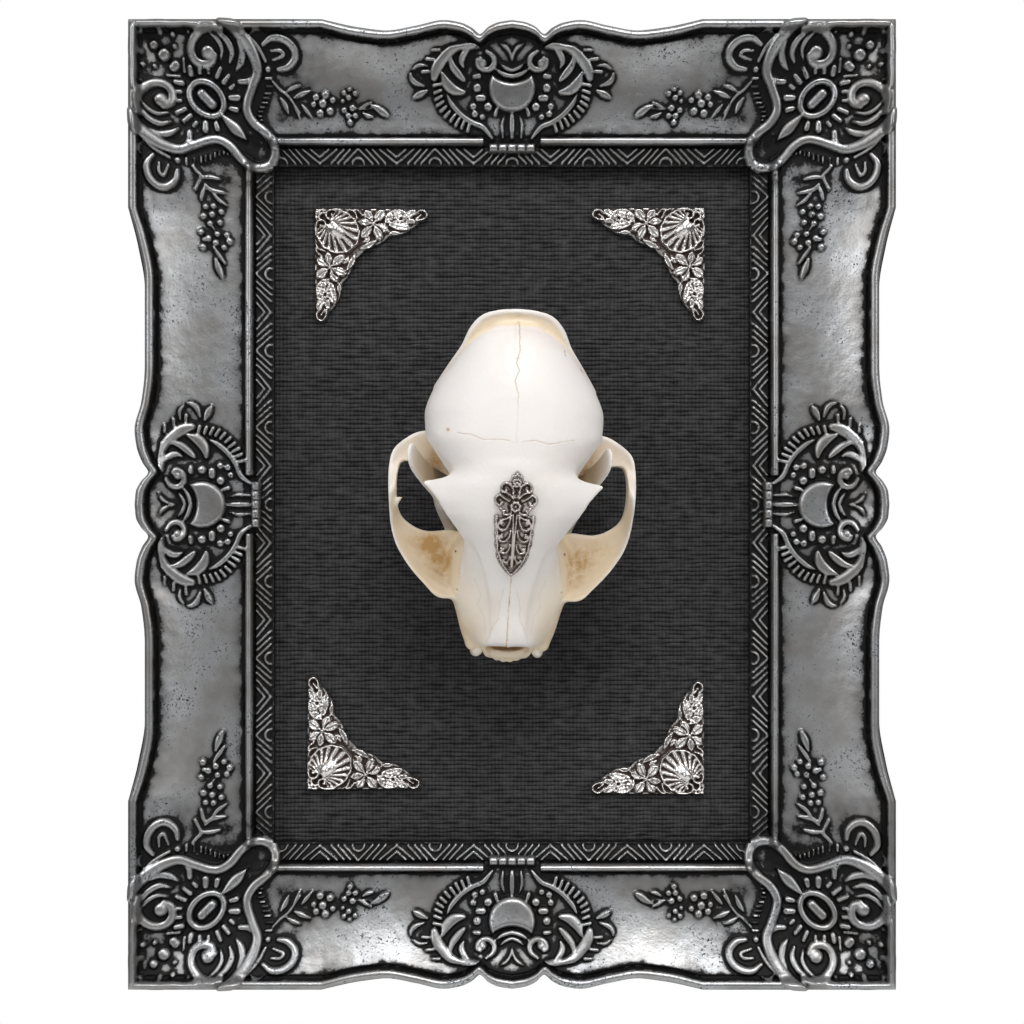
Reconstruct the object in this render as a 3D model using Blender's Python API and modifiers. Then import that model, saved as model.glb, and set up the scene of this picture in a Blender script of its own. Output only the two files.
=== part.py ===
"""A cat skull on black canvas-textured card in a small ornate silver frame, life size.

The frame stands upright as it hangs: +Z is up, +X is to the viewer's right, and the front
looks along -Y. The wall is the plane Y = 0, and the origin is the middle of the flat back.
Heights below are distances in front of the wall, or in front of the card for the skull.
Left and right are the viewer's, looking at the front.
"""

import math

import bmesh
import bpy
import numpy as np
from mathutils import Matrix, Vector

MM = 0.001
GAP = 0.3 * MM

# The frame, for a picture of 5 by 7 inches
FRAME_WIDTH = 191.6 * MM
FRAME_HEIGHT = 242.2 * MM
RAIL_WIDTH = 35.3 * MM
EDGE_BEAD_WIDTH = 2.3 * MM
EDGE_BEAD_TOP = 20 * MM
EDGE_WALL_TOP = 18.4 * MM
SCOOP_TOP = 17.4 * MM
SCOOP_FOOT = 10.8 * MM
SCOOP_END = 28.2 * MM
SCOOP_STEPS = (0.0, 0.35, 1.0)
INNER_BEAD_WIDTH = 2.2 * MM
INNER_BEAD_TOP = 12.5 * MM
BAND_TOP = 10.4 * MM
LIP_TOP = 8.6 * MM
LIP_UNDERSIDE = 5.6 * MM
REBATE_WIDTH = 4 * MM
MITRE_GAP = 0.22 * MM
SIDES = ("top", "right", "bottom", "left")
CORNERS = ("top_left", "top_right", "bottom_right", "bottom_left")

# How far the outer edge steps in, along half a rail from its middle: (distance, inset) in mm
SHORT_EDGE = ((0, 0.2), (3.2, 0.7), (5.8, 1.8), (8.2, 3.7), (10.4, 2.0), (13, 0.8), (17, 0.2))
SHORT_EDGE += ((24, 1.6), (31.5, 2.8), (39, 2.0), (47.5, 0.0))
LONG_EDGE = ((0, 1.6), (3.2, 1.9), (5.8, 3.2), (8.2, 5.0), (11, 3.4), (14.5, 2.1), (18.8, 1.6))
LONG_EDGE += ((26, 3.3), (34, 4.1), (56, 4.1), (66, 2.4), (74, 0.0))

# Rows of barrel beads across the middle of each inner bead
BEAD_COUNT = 5
BEAD_LENGTH = 2.35 * MM
BEAD_RADIUS = 1.35 * MM
BEAD_NECK = 0.8 * MM
BEAD_ROW_INSET = 31.0 * MM
BEAD_ROW_HEIGHT = 12.0 * MM
BEAD_RECESS_REACH = 7 * MM
BEAD_RECESS_FLOOR = 10.1 * MM

# The raised medallion in the middle of each rail, with the garland that hangs round it
MEDALLION_RADIUS = 6.1 * MM
MEDALLION_INSET = 15.9 * MM
MEDALLION_RELIEF = 1.9 * MM
GARLAND_RADIUS = 0.95 * MM
GARLAND_HALF = ((6.8, 9.6), (10.5, 7.4), (16, 8.6), (20.4, 12.2), (21, 17), (18.4, 21.6))
GARLAND_HALF += ((13.6, 25), (9, 27.2), (4, 28.4))

# The oval boss on each corner, and the scroll that runs round its inner side
BOSS_INSET = 18.5 * MM
BOSS_LONG = 9.6 * MM
BOSS_SHORT = 8.4 * MM
BOSS_RELIEF = 2.2 * MM
SCROLL_RADIUS = 1.25 * MM
SCROLL_HALF = ((27.5, 4.2), (30.4, 7.6), (31.5, 12.2), (29.8, 17.5), (29, 22.6), (31.2, 26.7))
SCROLL_HALF += ((34.4, 30.2), (36.2, 33.2))

# Card, back board and what holds the frame on a wall
CARD_THICKNESS = 1.6 * MM
CARD_FACE = LIP_UNDERSIDE - GAP
BOARD_THICKNESS = 3.2 * MM
SCREW_RADIUS = 2.6 * MM
SCREW_SHANK_RADIUS = 1.2 * MM
SCREW_DEPTH = 1.9 * MM
SCREW_INSET = 6 * MM
SCREW_SINK = 0.1 * MM
POCKET_WIDTH = 54 * MM
POCKET_HEIGHT = 13 * MM
POCKET_DEPTH = 2.4 * MM
HANGER_WIDTH = 46 * MM
HANGER_HEIGHT = 8 * MM
HANGER_THICKNESS = 0.8 * MM
HANGER_STAND_OFF = 0.9 * MM
HANGER_TEETH = 9
HANGER_TOOTHED_WIDTH = 28.5 * MM
HANGER_TOOTH_DEPTH = 1.2 * MM
HANGER_SHOULDER = 2 * MM
NAIL_RADIUS = 1.6 * MM
NAIL_HEAD = 0.3 * MM
NAIL_INSET = 3.5 * MM

# Stamped ornaments on the card: an L of leaves with a shell in its corner and two flowers
CORNER_PLATE = 1.0 * MM
CORNER_HALF = ((29.4, 1.6), (27.2, 3.6), (23.4, 4.9), (20.6, 6.4), (17.6, 7.4), (14.6, 8.2))
CORNER_HALF += ((13.4, 10.6),)
CORNER_LEG_ROOT = (22, 0.3)
CORNER_TRIM_MARGIN = 2 * MM
CORNER_TRIM_REACH = 34 * MM
CORNER_TRIM_DEPTH = 5 * MM
SHELL_PLACE = 5.9 * MM
SHELL_RADIUS = 5.7 * MM
SHELL_RELIEF = 2.6 * MM
FLOWER_PLACE = (15.2 * MM, 4.0 * MM)
FLOWER_RADIUS = 3.1 * MM
FLOWER_RELIEF = 1.9 * MM
CORNER_PLACES = {
    "top_left": (-50.4, 75.6),
    "top_right": (49.3, 75.8),
    "bottom_right": (49.2, -74.0),
    "bottom_left": (-52.4, -72.8),
}

# The skull lies on its lower jaw, snout down. Along it, distances run from the crest at the
# back of the head to the incisors.
SKULL_LENGTH = 85 * MM
SKULL_CENTRE_X = -0.7 * MM
SKULL_CENTRE_Z = 4.0 * MM
SKULL_TURN = math.radians(1.6)
SKULL_ROLL = math.radians(1.5)
SKULL_CLEARANCE = 0.35 * MM

# Outlines of the cranium as (distance along, value) in mm
TOP_LINE = ((0, 36.2), (3, 38.6), (5.5, 42.4), (12, 46.6), (22, 49.4), (32, 50.2), (42, 49.6))
TOP_LINE += ((50, 47.2), (58, 42.8), (64, 38.8), (72, 34.4), (80.6, 31), (82, 26), (85, 21.4))
ROOF_HALF = ((0, 4.2), (1.5, 8.2), (4.5, 11), (9.4, 13.4), (14.5, 17), (18.7, 19.8))
ROOF_HALF += ((25.3, 21.6), (30, 21.2), (35, 18.8), (39.6, 16.4), (45.2, 15.8), (48.6, 15))
ROOF_HALF += ((52.8, 12.6), (56.7, 10.6), (60, 9), (65, 7), (72, 5.6), (80.6, 5.6), (82, 5.4))
ROOF_HALF += ((85, 3.6),)
ROOF_EDGE = ((0, 34.6), (4.5, 36), (9.4, 34), (14.5, 31.5), (18.7, 30), (25.3, 30.5), (35, 35))
ROOF_EDGE += ((39.6, 39.4), (42.2, 41), (48.6, 42.4), (52.8, 40.8), (56.7, 38.4), (60, 36.2))
ROOF_EDGE += ((65, 34.4), (72, 31.4), (80.6, 28), (82, 24.6), (85, 20.4))
SPUR_REACH = ((38.6, 0), (40.6, 2.2), (42.2, 5.0), (44.4, 3.0), (48.6, 1.0), (54, 0))
SPUR_DROP = 0.35
WALL_HALF = ((0, 3.8), (4.5, 10.6), (9.4, 13.6), (14.5, 17), (18.7, 19.6), (25.3, 21.2))
WALL_HALF += ((35, 17.2), (39.6, 13.4), (44, 10), (50, 8.8), (56, 8.6), (60, 9.6), (64, 11.4))
WALL_HALF += ((69.5, 12.4), (75.5, 10.8), (80.6, 7.8), (85, 4.4))
WALL_LEVEL = ((0, 33.6), (4.5, 29), (9.4, 26), (14.5, 23.5), (25.3, 22.6), (35, 24), (44, 29))
WALL_LEVEL += ((56, 28.4), (64, 28.8), (69.5, 28), (75.5, 26), (80.6, 24.2), (85, 19.4))
FLOOR_HALF = ((0, 3.4), (4.5, 8.5), (9.4, 12.4), (14.5, 15.2), (25.3, 16.2), (31, 14), (39.6, 9.6))
FLOOR_HALF += ((45, 8), (50, 9), (55, 12.6), (59, 14.8), (66, 14.9), (69.5, 13.8), (72, 12.6))
FLOOR_HALF += ((75.5, 11.7), (79, 10.6), (82, 8), (85, 5.2))
FLOOR_LEVEL = ((0, 32.8), (4.5, 22), (9.4, 16), (14.5, 13), (25.3, 12.4), (39.6, 16.6), (50, 19.4))
FLOOR_LEVEL += ((66, 21), (75.5, 20.4), (81, 19.6), (85, 18.4))
BASE_LINE = ((0, 31.8), (4.5, 16), (9.4, 11.6), (14.5, 10.4), (25.3, 10.6), (39.6, 14.6))
BASE_LINE += ((50, 16.6), (60, 17.6), (78, 17.4), (85, 16.8))
CRANIUM_STATIONS = (0, 1.5, 3.6, 5.6, 9.4, 14.5, 19.5, 25.3, 31, 35.5, 39, 40.6, 42.2, 44.4, 49.5)
CRANIUM_STATIONS += (54, 58.5, 63, 67.5, 72, 76, 80.4, 82, 85)
DOME_ANGLES = (0, 28, 58)
BASE_SHARE = 0.72
BASE_RISE = 0.4

# Hollows and swellings of the cranium: the hole for the spinal cord, the nose, the ear bullae
MAGNUM_RADIUS = 5.4 * MM
MAGNUM_DEPTH = 9 * MM
MAGNUM_HEIGHT = 21 * MM
NOSE_HALF_WIDTH = 4.2 * MM
NOSE_HALF_HEIGHT = 3.4 * MM
NOSE_DEPTH = 8 * MM
NOSE_TILT = math.radians(-28)
NOSE_NARROWING = 0.7
NOSE_PLACE = (83.4, 0, 25.6)
BULLA_PLACE = (21.0, 9.2, 11.6)
BULLA_SIZE = (8.2, 5.2, 4.6)

# Teeth as (distance along, distance from the middle, half length, half width, height) in mm
UPPER_TEETH = ((61.6, 13.4, 3.6, 1.5, 6.5), (66.4, 13.0, 2.6, 1.4, 7.3), (71.6, 11.6, 2.8, 1.3, 6.1))
UPPER_TEETH += ((76.0, 10.4, 1.1, 0.9, 4.4), (83.4, 1.2, 0.9, 0.9, 4.2), (83.0, 3.2, 1.0, 1.0, 4.6))
UPPER_TOOTH_ROOT = 20.4
LOWER_TEETH = ((59.4, 11.5, 2.6, 1.2, 5.4), (63.6, 10.4, 2.2, 1.2, 5.0), (68.4, 9.0, 2.2, 1.1, 4.6))
LOWER_TEETH += ((73.4, 7.2, 1.8, 1.0, 3.8), (80.8, 4.5, 2.0, 1.7, 6.4), (82.2, 1.4, 0.7, 0.6, 2.6))
LOWER_TOOTH_ROOT = 11.4
TOOTH_TIP_SHARE = 0.25
UPPER_CANINE = ((80.2, 7.2, 21.5, 2.5), (81.2, 7.9, 18, 2.3), (82, 8.2, 14, 1.6), (82.2, 8.1, 9, 0.4))
CANINE_SIDES = 7
CANINE_FLATNESS = 0.8

# The cheek arch: edges seen from the front as (distance along, distance from the middle)
ARCH_OUTER = ((28.6, 20.4), (29.8, 24.6), (33.5, 28.9), (38.5, 30.1), (45.7, 29.8), (52.2, 29.2))
ARCH_OUTER += ((57.4, 27.6), (62.4, 24.4), (66.8, 20.4), (69.6, 17.2), (69.8, 12.0))
ARCH_INNER = ((34.0, 16.0), (33.8, 21.4), (35.4, 26), (38.8, 27.6), (45.7, 27.7), (50, 26.4))
ARCH_INNER += ((52.6, 23.6), (53.6, 20.4), (53.4, 17.4), (53.2, 14.6), (54, 8.0))
ARCH_TOP = (20.0, 20.6, 26.4, 28.2, 32.4, 30.0, 29.0, 28.2, 27.6, 27.6, 27.0)
ARCH_INNER_TOP = (19.2, 19.4, 24.6, 27.8, 31.8, 28.8, 25.8, 23.6, 23.2, 23.6, 25.0)
ARCH_FOOT = (17.0, 17.0, 18.2, 19.4, 20.4, 20.6, 20.4, 20.4, 20.6, 20.8, 20.8)

# The lower jaw's outline from the side as (distance along, height) in mm, and its bend
JAW_OUTLINE = ((83, 13.4), (83, 10.4), (80.6, 6), (76, 3.0), (70, 1.2), (61, 0.4), (52, 1.0))
JAW_OUTLINE += ((44, 3), (37, 4.8), (30.6, 3.2), (31, 5.8), (34.4, 8.8), (31.4, 12), (32, 15.2))
JAW_OUTLINE += ((35, 15.6), (36.8, 19), (35, 25), (32, 31), (34.6, 33.2), (38.4, 32), (42, 27))
JAW_OUTLINE += ((46.4, 20), (51, 14.6), (55, 12.2), (68, 11.9), (77, 12.2))
JAW_BEND = ((29, 22.2), (34, 22.8), (38, 23), (46, 19.6), (53.5, 14.4), (60, 11.6), (70, 8.2))
JAW_BEND += ((78, 4.9), (84, 2.6))
JAW_THICKNESS = 2.8 * MM
BLADE_START = 17 * MM
BLADE_SHARE = 0.7
JAW_SHIFT = 0.3 * MM

# The stamped leaf on the forehead: half outline as (distance below its top, half width) in mm
LEAF_HALF = ((0, 0.5), (1.8, 1.7), (3.8, 3.6), (7, 5.0), (9.6, 4.0), (10.8, 4.9), (14.5, 4.7))
LEAF_HALF += ((19.5, 4.0), (23, 2.2), (25, 0.4))
LEAF_START = 39.2 * MM
LEAF_LIFT = 1.5 * MM
LEAF_SHIFT = 0.6 * MM
LEAF_SAG = 0.55 * MM
LEAF_DEPTH = 3 * MM
LEAF_FLOWER_PLACE = 8.6 * MM
LEAF_FLOWER_RADIUS = 2.3 * MM
LEAF_FLOWER_RELIEF = 0.9 * MM

# Colour, roughness and metallic value of each material
FINISHES = {
    "antique_silver": ((0.21, 0.21, 0.22), 0.36, 0.9),
    "bright_silver": ((0.62, 0.60, 0.58), 0.28, 1.0),
    "bone": ((0.88, 0.83, 0.76), 0.45, 0.0),
    "tooth": ((0.90, 0.86, 0.77), 0.25, 0.0),
    "black_card": ((0.018, 0.018, 0.019), 0.8, 0.0),
    "back_board": ((0.20, 0.13, 0.08), 0.75, 0.0),
    "steel": ((0.55, 0.55, 0.56), 0.35, 1.0),
}


def clear_scene():
    for obj in list(bpy.data.objects):
        bpy.data.objects.remove(obj, do_unlink=True)


def make_collection(name):
    collection = bpy.data.collections.new(name)
    bpy.context.scene.collection.children.link(collection)
    return collection


def make_materials():
    made = {}
    for name, (colour, roughness, metallic) in FINISHES.items():
        material = bpy.data.materials.new(name)
        material.use_nodes = True
        shader = material.node_tree.nodes["Principled BSDF"]
        shader.inputs["Base Color"].default_value = (*colour, 1)
        shader.inputs["Roughness"].default_value = roughness
        shader.inputs["Metallic"].default_value = metallic
        made[name] = material
    return made


def make_empty(name, collection, location=(0, 0, 0), rotation=(0, 0, 0), parent=None):
    empty = bpy.data.objects.new(name, None)
    empty.location = location
    empty.rotation_euler = rotation
    empty.parent = parent
    collection.objects.link(empty)
    return empty


def object_from(bm, name, collection, material, parent=None, smooth_below=35, turn=True):
    """Makes an object of a finished bmesh, its faces turned outwards unless they are already."""
    if turn:
        bmesh.ops.recalc_face_normals(bm, faces=bm.faces)
    mesh = bpy.data.meshes.new(name)
    bm.to_mesh(mesh)
    bm.free()
    mesh.shade_smooth()
    mesh.set_sharp_from_angle(angle=math.radians(smooth_below))
    mesh.materials.append(material)
    obj = bpy.data.objects.new(name, mesh)
    obj.parent = parent
    collection.objects.link(obj)
    return obj


def as_cutter(obj):
    obj.hide_render = True
    obj.display_type = "WIRE"
    return obj


def add_boolean(obj, operand, operation):
    modifier = obj.modifiers.new(f"{operation.lower()}_{operand.name}", "BOOLEAN")
    modifier.operation = operation
    modifier.object = operand
    modifier.solver = "EXACT"
    modifier.use_self = operation == "UNION"


def smooth_value(points, place):
    """Reads a curve through (place, value) points that never overshoots between them."""
    places = [p[0] for p in points]
    values = [p[1] for p in points]
    slopes = [(b - a) / (q - p) for p, q, a, b in zip(places, places[1:], values, values[1:])]
    tangents = [slopes[0]]
    for before, after in zip(slopes, slopes[1:]):
        level = before * after <= 0
        tangents.append(0 if level else 2 * before * after / (before + after))
    tangents.append(slopes[-1])
    place = min(max(place, places[0]), places[-1])
    i = min(max(int(np.searchsorted(places, place)) - 1, 0), len(slopes) - 1)
    width = places[i + 1] - places[i]
    f = (place - places[i]) / width
    rise = f * f * (3 - 2 * f)
    leave = f * (1 - f) ** 2 * width * tangents[i]
    arrive = f * f * (f - 1) * width * tangents[i + 1]
    return values[i] + (values[i + 1] - values[i]) * rise + leave + arrive


def loft(rings):
    """Skins a closed body over rings of equal length and closes both ends."""
    bm = bmesh.new()
    loops = [[bm.verts.new(point) for point in ring] for ring in rings]
    count = len(loops[0])
    for near, far in zip(loops, loops[1:]):
        for i in range(count):
            j = (i + 1) % count
            bm.faces.new((near[i], near[j], far[j], far[i]))
    bm.faces.new(loops[0])
    bm.faces.new(loops[-1])
    return bm


def tube(name, points, radius, collection, material, parent=None, sides_each=0):
    """Makes a rod of constant radius along a line of points, as a mesh with closed ends."""
    data = bpy.data.curves.new(name + "_line", "CURVE")
    data.dimensions = "3D"
    data.bevel_depth = radius
    data.bevel_resolution = sides_each
    data.use_fill_caps = True
    spline = data.splines.new("POLY")
    spline.points.add(len(points) - 1)
    for spot, point in zip(spline.points, points):
        spot.co = (*point, 1)
    line = bpy.data.objects.new(name + "_line", data)
    collection.objects.link(line)
    graph = bpy.context.evaluated_depsgraph_get()
    mesh = bpy.data.meshes.new_from_object(line.evaluated_get(graph))
    bpy.data.objects.remove(line)
    bm = bmesh.new()
    bm.from_mesh(mesh)
    bmesh.ops.remove_doubles(bm, verts=bm.verts, dist=0.01 * MM)
    bpy.data.meshes.remove(mesh)
    return object_from(bm, name, collection, material, parent, smooth_below=60)


def dome(spot, size, bm, segments=12, rings=8):
    """Adds a closed ellipsoid with half axes size about spot."""
    shape = Matrix.Translation(spot) @ Matrix.Diagonal((*size, 1))
    bmesh.ops.create_uvsphere(bm, u_segments=segments, v_segments=rings, radius=1, matrix=shape)


def rail_profile(inset, recessed):
    """The moulding's section as (distance from the outer line, height), for an edge inset.

    recessed lowers the inner bead, where a row of barrel beads crosses it.
    """
    bead = EDGE_BEAD_WIDTH
    foot = SCOOP_END
    crown = BEAD_RECESS_FLOOR if recessed else INNER_BEAD_TOP
    shoulder = BEAD_RECESS_FLOOR if recessed else BAND_TOP
    points = [(inset, 0), (inset, EDGE_WALL_TOP)]
    points += [(inset + 0.2 * bead, EDGE_BEAD_TOP - 0.25 * bead), (inset + bead / 2, EDGE_BEAD_TOP)]
    points += [(inset + 0.85 * bead, EDGE_BEAD_TOP - 0.3 * bead)]
    for f in SCOOP_STEPS:
        place = inset + bead + (foot - inset - bead) * f
        points.append((place, SCOOP_FOOT + (SCOOP_TOP - SCOOP_FOOT) * (1 - f) ** 2))
    if recessed:
        points[-1] = (foot, BEAD_RECESS_FLOOR)
    points.append((foot + 0.25 * INNER_BEAD_WIDTH, crown))
    points.append((foot + 0.75 * INNER_BEAD_WIDTH, crown))
    points.append((foot + INNER_BEAD_WIDTH, shoulder))
    points += [(RAIL_WIDTH, LIP_TOP), (RAIL_WIDTH, LIP_UNDERSIDE)]
    points += [(RAIL_WIDTH - REBATE_WIDTH, LIP_UNDERSIDE), (RAIL_WIDTH - REBATE_WIDTH, 0)]
    return points


def moulding_height(inset, edge=0.0):
    """Height of the plain moulding at a distance from the outer line."""
    profile = rail_profile(edge, recessed=False)[1:-3]
    return float(np.interp(inset, [p[0] for p in profile], [p[1] for p in profile]))


def crest_under(place, reach, height_at):
    """The highest moulding within reach of a place, so that what lies there clears it."""
    around = [(0, 0)]
    for k in range(8):
        turn = k * math.pi / 4
        around.append((reach * math.cos(turn), reach * math.sin(turn)))
    return max(height_at(place[0] + a, place[1] + b) for a, b in around)


def make_rail(side, length, edge, parent, collection, material):
    """A mitred rail in its own frame: X along it from its middle, -Z into the picture."""
    half = length / 2
    places = [place * MM for place, _ in edge]
    stations = [-half, *(-p for p in reversed(places[1:])), *places, half]
    rings = []
    for station in stations:
        inset = smooth_value(edge, abs(station) / MM) * MM
        recessed = abs(station) < BEAD_RECESS_REACH
        ring = []
        for across, height in rail_profile(inset, recessed):
            mitre = half - across - MITRE_GAP
            ring.append((math.copysign(min(abs(station), mitre), station), -height, -across))
        rings.append(ring)
    return object_from(loft(rings), f"rail_{side}", collection, material, parent)


def make_beads(side, parent, collection, material):
    """A turned row of barrel beads, its axis along the rail."""
    length = BEAD_COUNT * BEAD_LENGTH
    points = [(0, -length / 2)]
    for k in range(BEAD_COUNT):
        start = -length / 2 + k * BEAD_LENGTH
        points.append((BEAD_NECK, start))
        points.append((BEAD_RADIUS, start + 0.3 * BEAD_LENGTH))
        points.append((BEAD_RADIUS, start + 0.7 * BEAD_LENGTH))
    points += [(BEAD_NECK, length / 2), (0, length / 2)]
    mesh = bpy.data.meshes.new(f"beads_{side}")
    edges = [(i, i + 1) for i in range(len(points) - 1)]
    mesh.from_pydata([(r, 0, z) for r, z in reversed(points)], edges, [])
    mesh.materials.append(material)
    obj = bpy.data.objects.new(f"beads_{side}", mesh)
    turned = obj.modifiers.new("turned", "SCREW")
    turned.steps = turned.render_steps = 6
    turned.use_merge_vertices = True
    turned.merge_threshold = 0.00001
    turned.use_normal_calculate = True
    obj.parent = parent
    obj.location = (0, -BEAD_ROW_HEIGHT, -BEAD_ROW_INSET)
    obj.rotation_euler = (0, math.pi / 2, 0)
    collection.objects.link(obj)
    return obj


def make_relief(name, centre, radius_at, relief, height_at, parent, collection, material):
    """A low cushion that follows the moulding under it and rises to relief in its middle."""
    segments, shares = 10, (1.0, 0.75)
    thin = 0.5 * MM
    bm = bmesh.new()
    faces = []
    for upper in (True, False):
        rows = []
        for share in (*shares, 0):
            row = []
            for k in range(segments if share else 1):
                turn = 2 * math.pi * k / segments
                reach = radius_at(turn) * share
                a, b = centre[0] + reach * math.cos(turn), centre[1] + reach * math.sin(turn)
                height = height_at(a, b) + GAP * 1.2
                if upper:
                    height += thin + (relief - thin) * math.sqrt(1 - share * share)
                row.append(bm.verts.new((a, -height, -b)))
            rows.append(row)
        for outer, inner in zip(rows, rows[1:-1]):
            for k in range(segments):
                j = (k + 1) % segments
                faces.append(bm.faces.new((outer[k], outer[j], inner[j], inner[k])))
        for k in range(segments):
            bm.faces.new((rows[-2][k], rows[-2][(k + 1) % segments], rows[-1][0]))
        if upper:
            rim = rows[0]
        else:
            for k in range(segments):
                j = (k + 1) % segments
                bm.faces.new((rim[k], rim[j], rows[0][j], rows[0][k]))
    return object_from(bm, name, collection, material, parent)


def make_side_ornament(side, edge, parent, collection, material):
    """The medallion and the garland round it, in the rail's own frame."""

    def height_at(along, inset):
        return moulding_height(inset, smooth_value(edge, abs(along) / MM) * MM)

    centre = (0, MEDALLION_INSET)
    make_relief(f"medallion_{side}", centre, lambda turn: MEDALLION_RADIUS, MEDALLION_RELIEF,
                height_at, parent, collection, material)
    half = [(a * MM, b * MM) for a, b in GARLAND_HALF]
    points = []
    for a, b in half + [(-a, b) for a, b in reversed(half)]:
        crest = crest_under((a, b), GARLAND_RADIUS, height_at)
        points.append((a, -crest - GARLAND_RADIUS - GAP, -b))
    return tube(f"garland_{side}", points, GARLAND_RADIUS, collection, material, parent)


def make_corner_ornament(corner, parent, collection, material):
    """The oval boss and the scroll inside it, measured from the frame's outer corner."""

    def height_at(a, b):
        return moulding_height(min(a, b))

    def boss_radius(turn):
        along = math.cos(turn - math.pi / 4) / BOSS_LONG
        across = math.sin(turn - math.pi / 4) / BOSS_SHORT
        return 1 / math.hypot(along, across)

    make_relief(f"boss_{corner}", (BOSS_INSET, BOSS_INSET), boss_radius, BOSS_RELIEF, height_at,
                parent, collection, material)
    half = [(a * MM, b * MM) for a, b in SCROLL_HALF]
    points = []
    for a, b in half + [(b, a) for a, b in reversed(half)]:
        crest = crest_under((a, b), SCROLL_RADIUS * 1.3, height_at)
        points.append((a, -crest - SCROLL_RADIUS - GAP * 1.5, -b))
    return tube(f"scroll_{corner}", points, SCROLL_RADIUS, collection, material, parent)


def make_frame(collection, silver):
    """Four mitred rails with the ornament that lies on them."""
    half_width, half_height = FRAME_WIDTH / 2, FRAME_HEIGHT / 2
    places = ((0, half_height), (half_width, 0), (0, -half_height), (-half_width, 0))
    rails = {}
    for k, side in enumerate(SIDES):
        length, edge = (FRAME_HEIGHT, LONG_EDGE) if k % 2 else (FRAME_WIDTH, SHORT_EDGE)
        x, z = places[k]
        turn = (0, k * math.pi / 2, 0)
        holder = make_empty(f"side_{side}", collection, (x, 0, z), turn)
        rails[side] = make_rail(side, length, edge, holder, collection, silver)
        make_beads(side, holder, collection, silver)
        make_side_ornament(side, edge, holder, collection, silver)
    for k, corner in enumerate(CORNERS):
        x = half_width if "right" in corner else -half_width
        z = half_height if "top" in corner else -half_height
        turn = (0, k * math.pi / 2, 0)
        holder = make_empty(f"corner_{corner}", collection, (x, 0, z), turn)
        make_corner_ornament(corner, holder, collection, silver)
    return rails


def box(name, low, high, collection, material, parent=None):
    bm = bmesh.new()
    size = Vector(high) - Vector(low)
    middle = (Vector(high) + Vector(low)) / 2
    shape = Matrix.Translation(middle) @ Matrix.Diagonal((*size, 1))
    bmesh.ops.create_cube(bm, size=1, matrix=shape)
    return object_from(bm, name, collection, material, parent)


def countersink(name, radius, shank, depth, low, collection, material):
    """A cone with its wide face at height low and its narrow end depth further forward."""
    bm = bmesh.new()
    shape = Matrix.Translation((0, -low - depth / 2, 0)) @ Matrix.Rotation(-math.pi / 2, 4, "X")
    bmesh.ops.create_cone(bm, cap_ends=True, segments=10, radius1=shank, radius2=radius,
                          depth=depth, matrix=shape)
    return object_from(bm, name, collection, material)


def make_backing(collection, cutters, materials, rails):
    """Card and back board in the rebate, the board's screws, and the hanger in the top rail."""
    half_x = FRAME_WIDTH / 2 - RAIL_WIDTH + REBATE_WIDTH - GAP
    half_z = FRAME_HEIGHT / 2 - RAIL_WIDTH + REBATE_WIDTH - GAP
    card_back = CARD_FACE - CARD_THICKNESS
    box("backing_card", (-half_x, -CARD_FACE, -half_z), (half_x, -card_back, half_z),
        collection, materials["black_card"])
    board = box("back_board", (-half_x, -BOARD_THICKNESS, -half_z), (half_x, 0, half_z),
                collection, materials["back_board"])
    spots = []
    for z in (half_z - SCREW_INSET, -half_z + SCREW_INSET):
        spots += [(-half_x + SCREW_INSET, z), (half_x - SCREW_INSET, z)]
    for k, (x, z) in enumerate(spots, 1):
        hole = countersink(f"screw_hole_{k}", SCREW_RADIUS + GAP, SCREW_SHANK_RADIUS + GAP,
                           SCREW_DEPTH + GAP, 0, cutters, materials["steel"])
        hole.location = (x, SCREW_SINK, z)
        add_boolean(board, as_cutter(hole), "DIFFERENCE")
        screw = countersink(f"board_screw_{k}", SCREW_RADIUS, SCREW_SHANK_RADIUS,
                            SCREW_DEPTH - 2 * GAP, GAP / 2, collection, materials["steel"])
        screw.location = (x, 0, z)
    top = FRAME_HEIGHT / 2 - RAIL_WIDTH / 2 + REBATE_WIDTH / 2
    pocket = box("hanger_pocket", (-POCKET_WIDTH / 2, -POCKET_DEPTH, top - POCKET_HEIGHT / 2),
                 (POCKET_WIDTH / 2, SCREW_SINK, top + POCKET_HEIGHT / 2), cutters,
                 materials["steel"])
    add_boolean(rails["top"], as_cutter(pocket), "DIFFERENCE")
    make_hanger(top, collection, materials["steel"])


def plate_from(outline, low, high, name, collection, material):
    """A flat plate with an outline in X and Z, from low to high in front of its own back."""
    bm = bmesh.new()
    rows = []
    for height in (low, high):
        rows.append([bm.verts.new((x, -height, z)) for x, z in outline])
        bm.faces.new(rows[-1])
    count = len(outline)
    for i in range(count):
        j = (i + 1) % count
        bm.faces.new((rows[0][i], rows[0][j], rows[1][j], rows[1][i]))
    return object_from(bm, name, collection, material)


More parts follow.
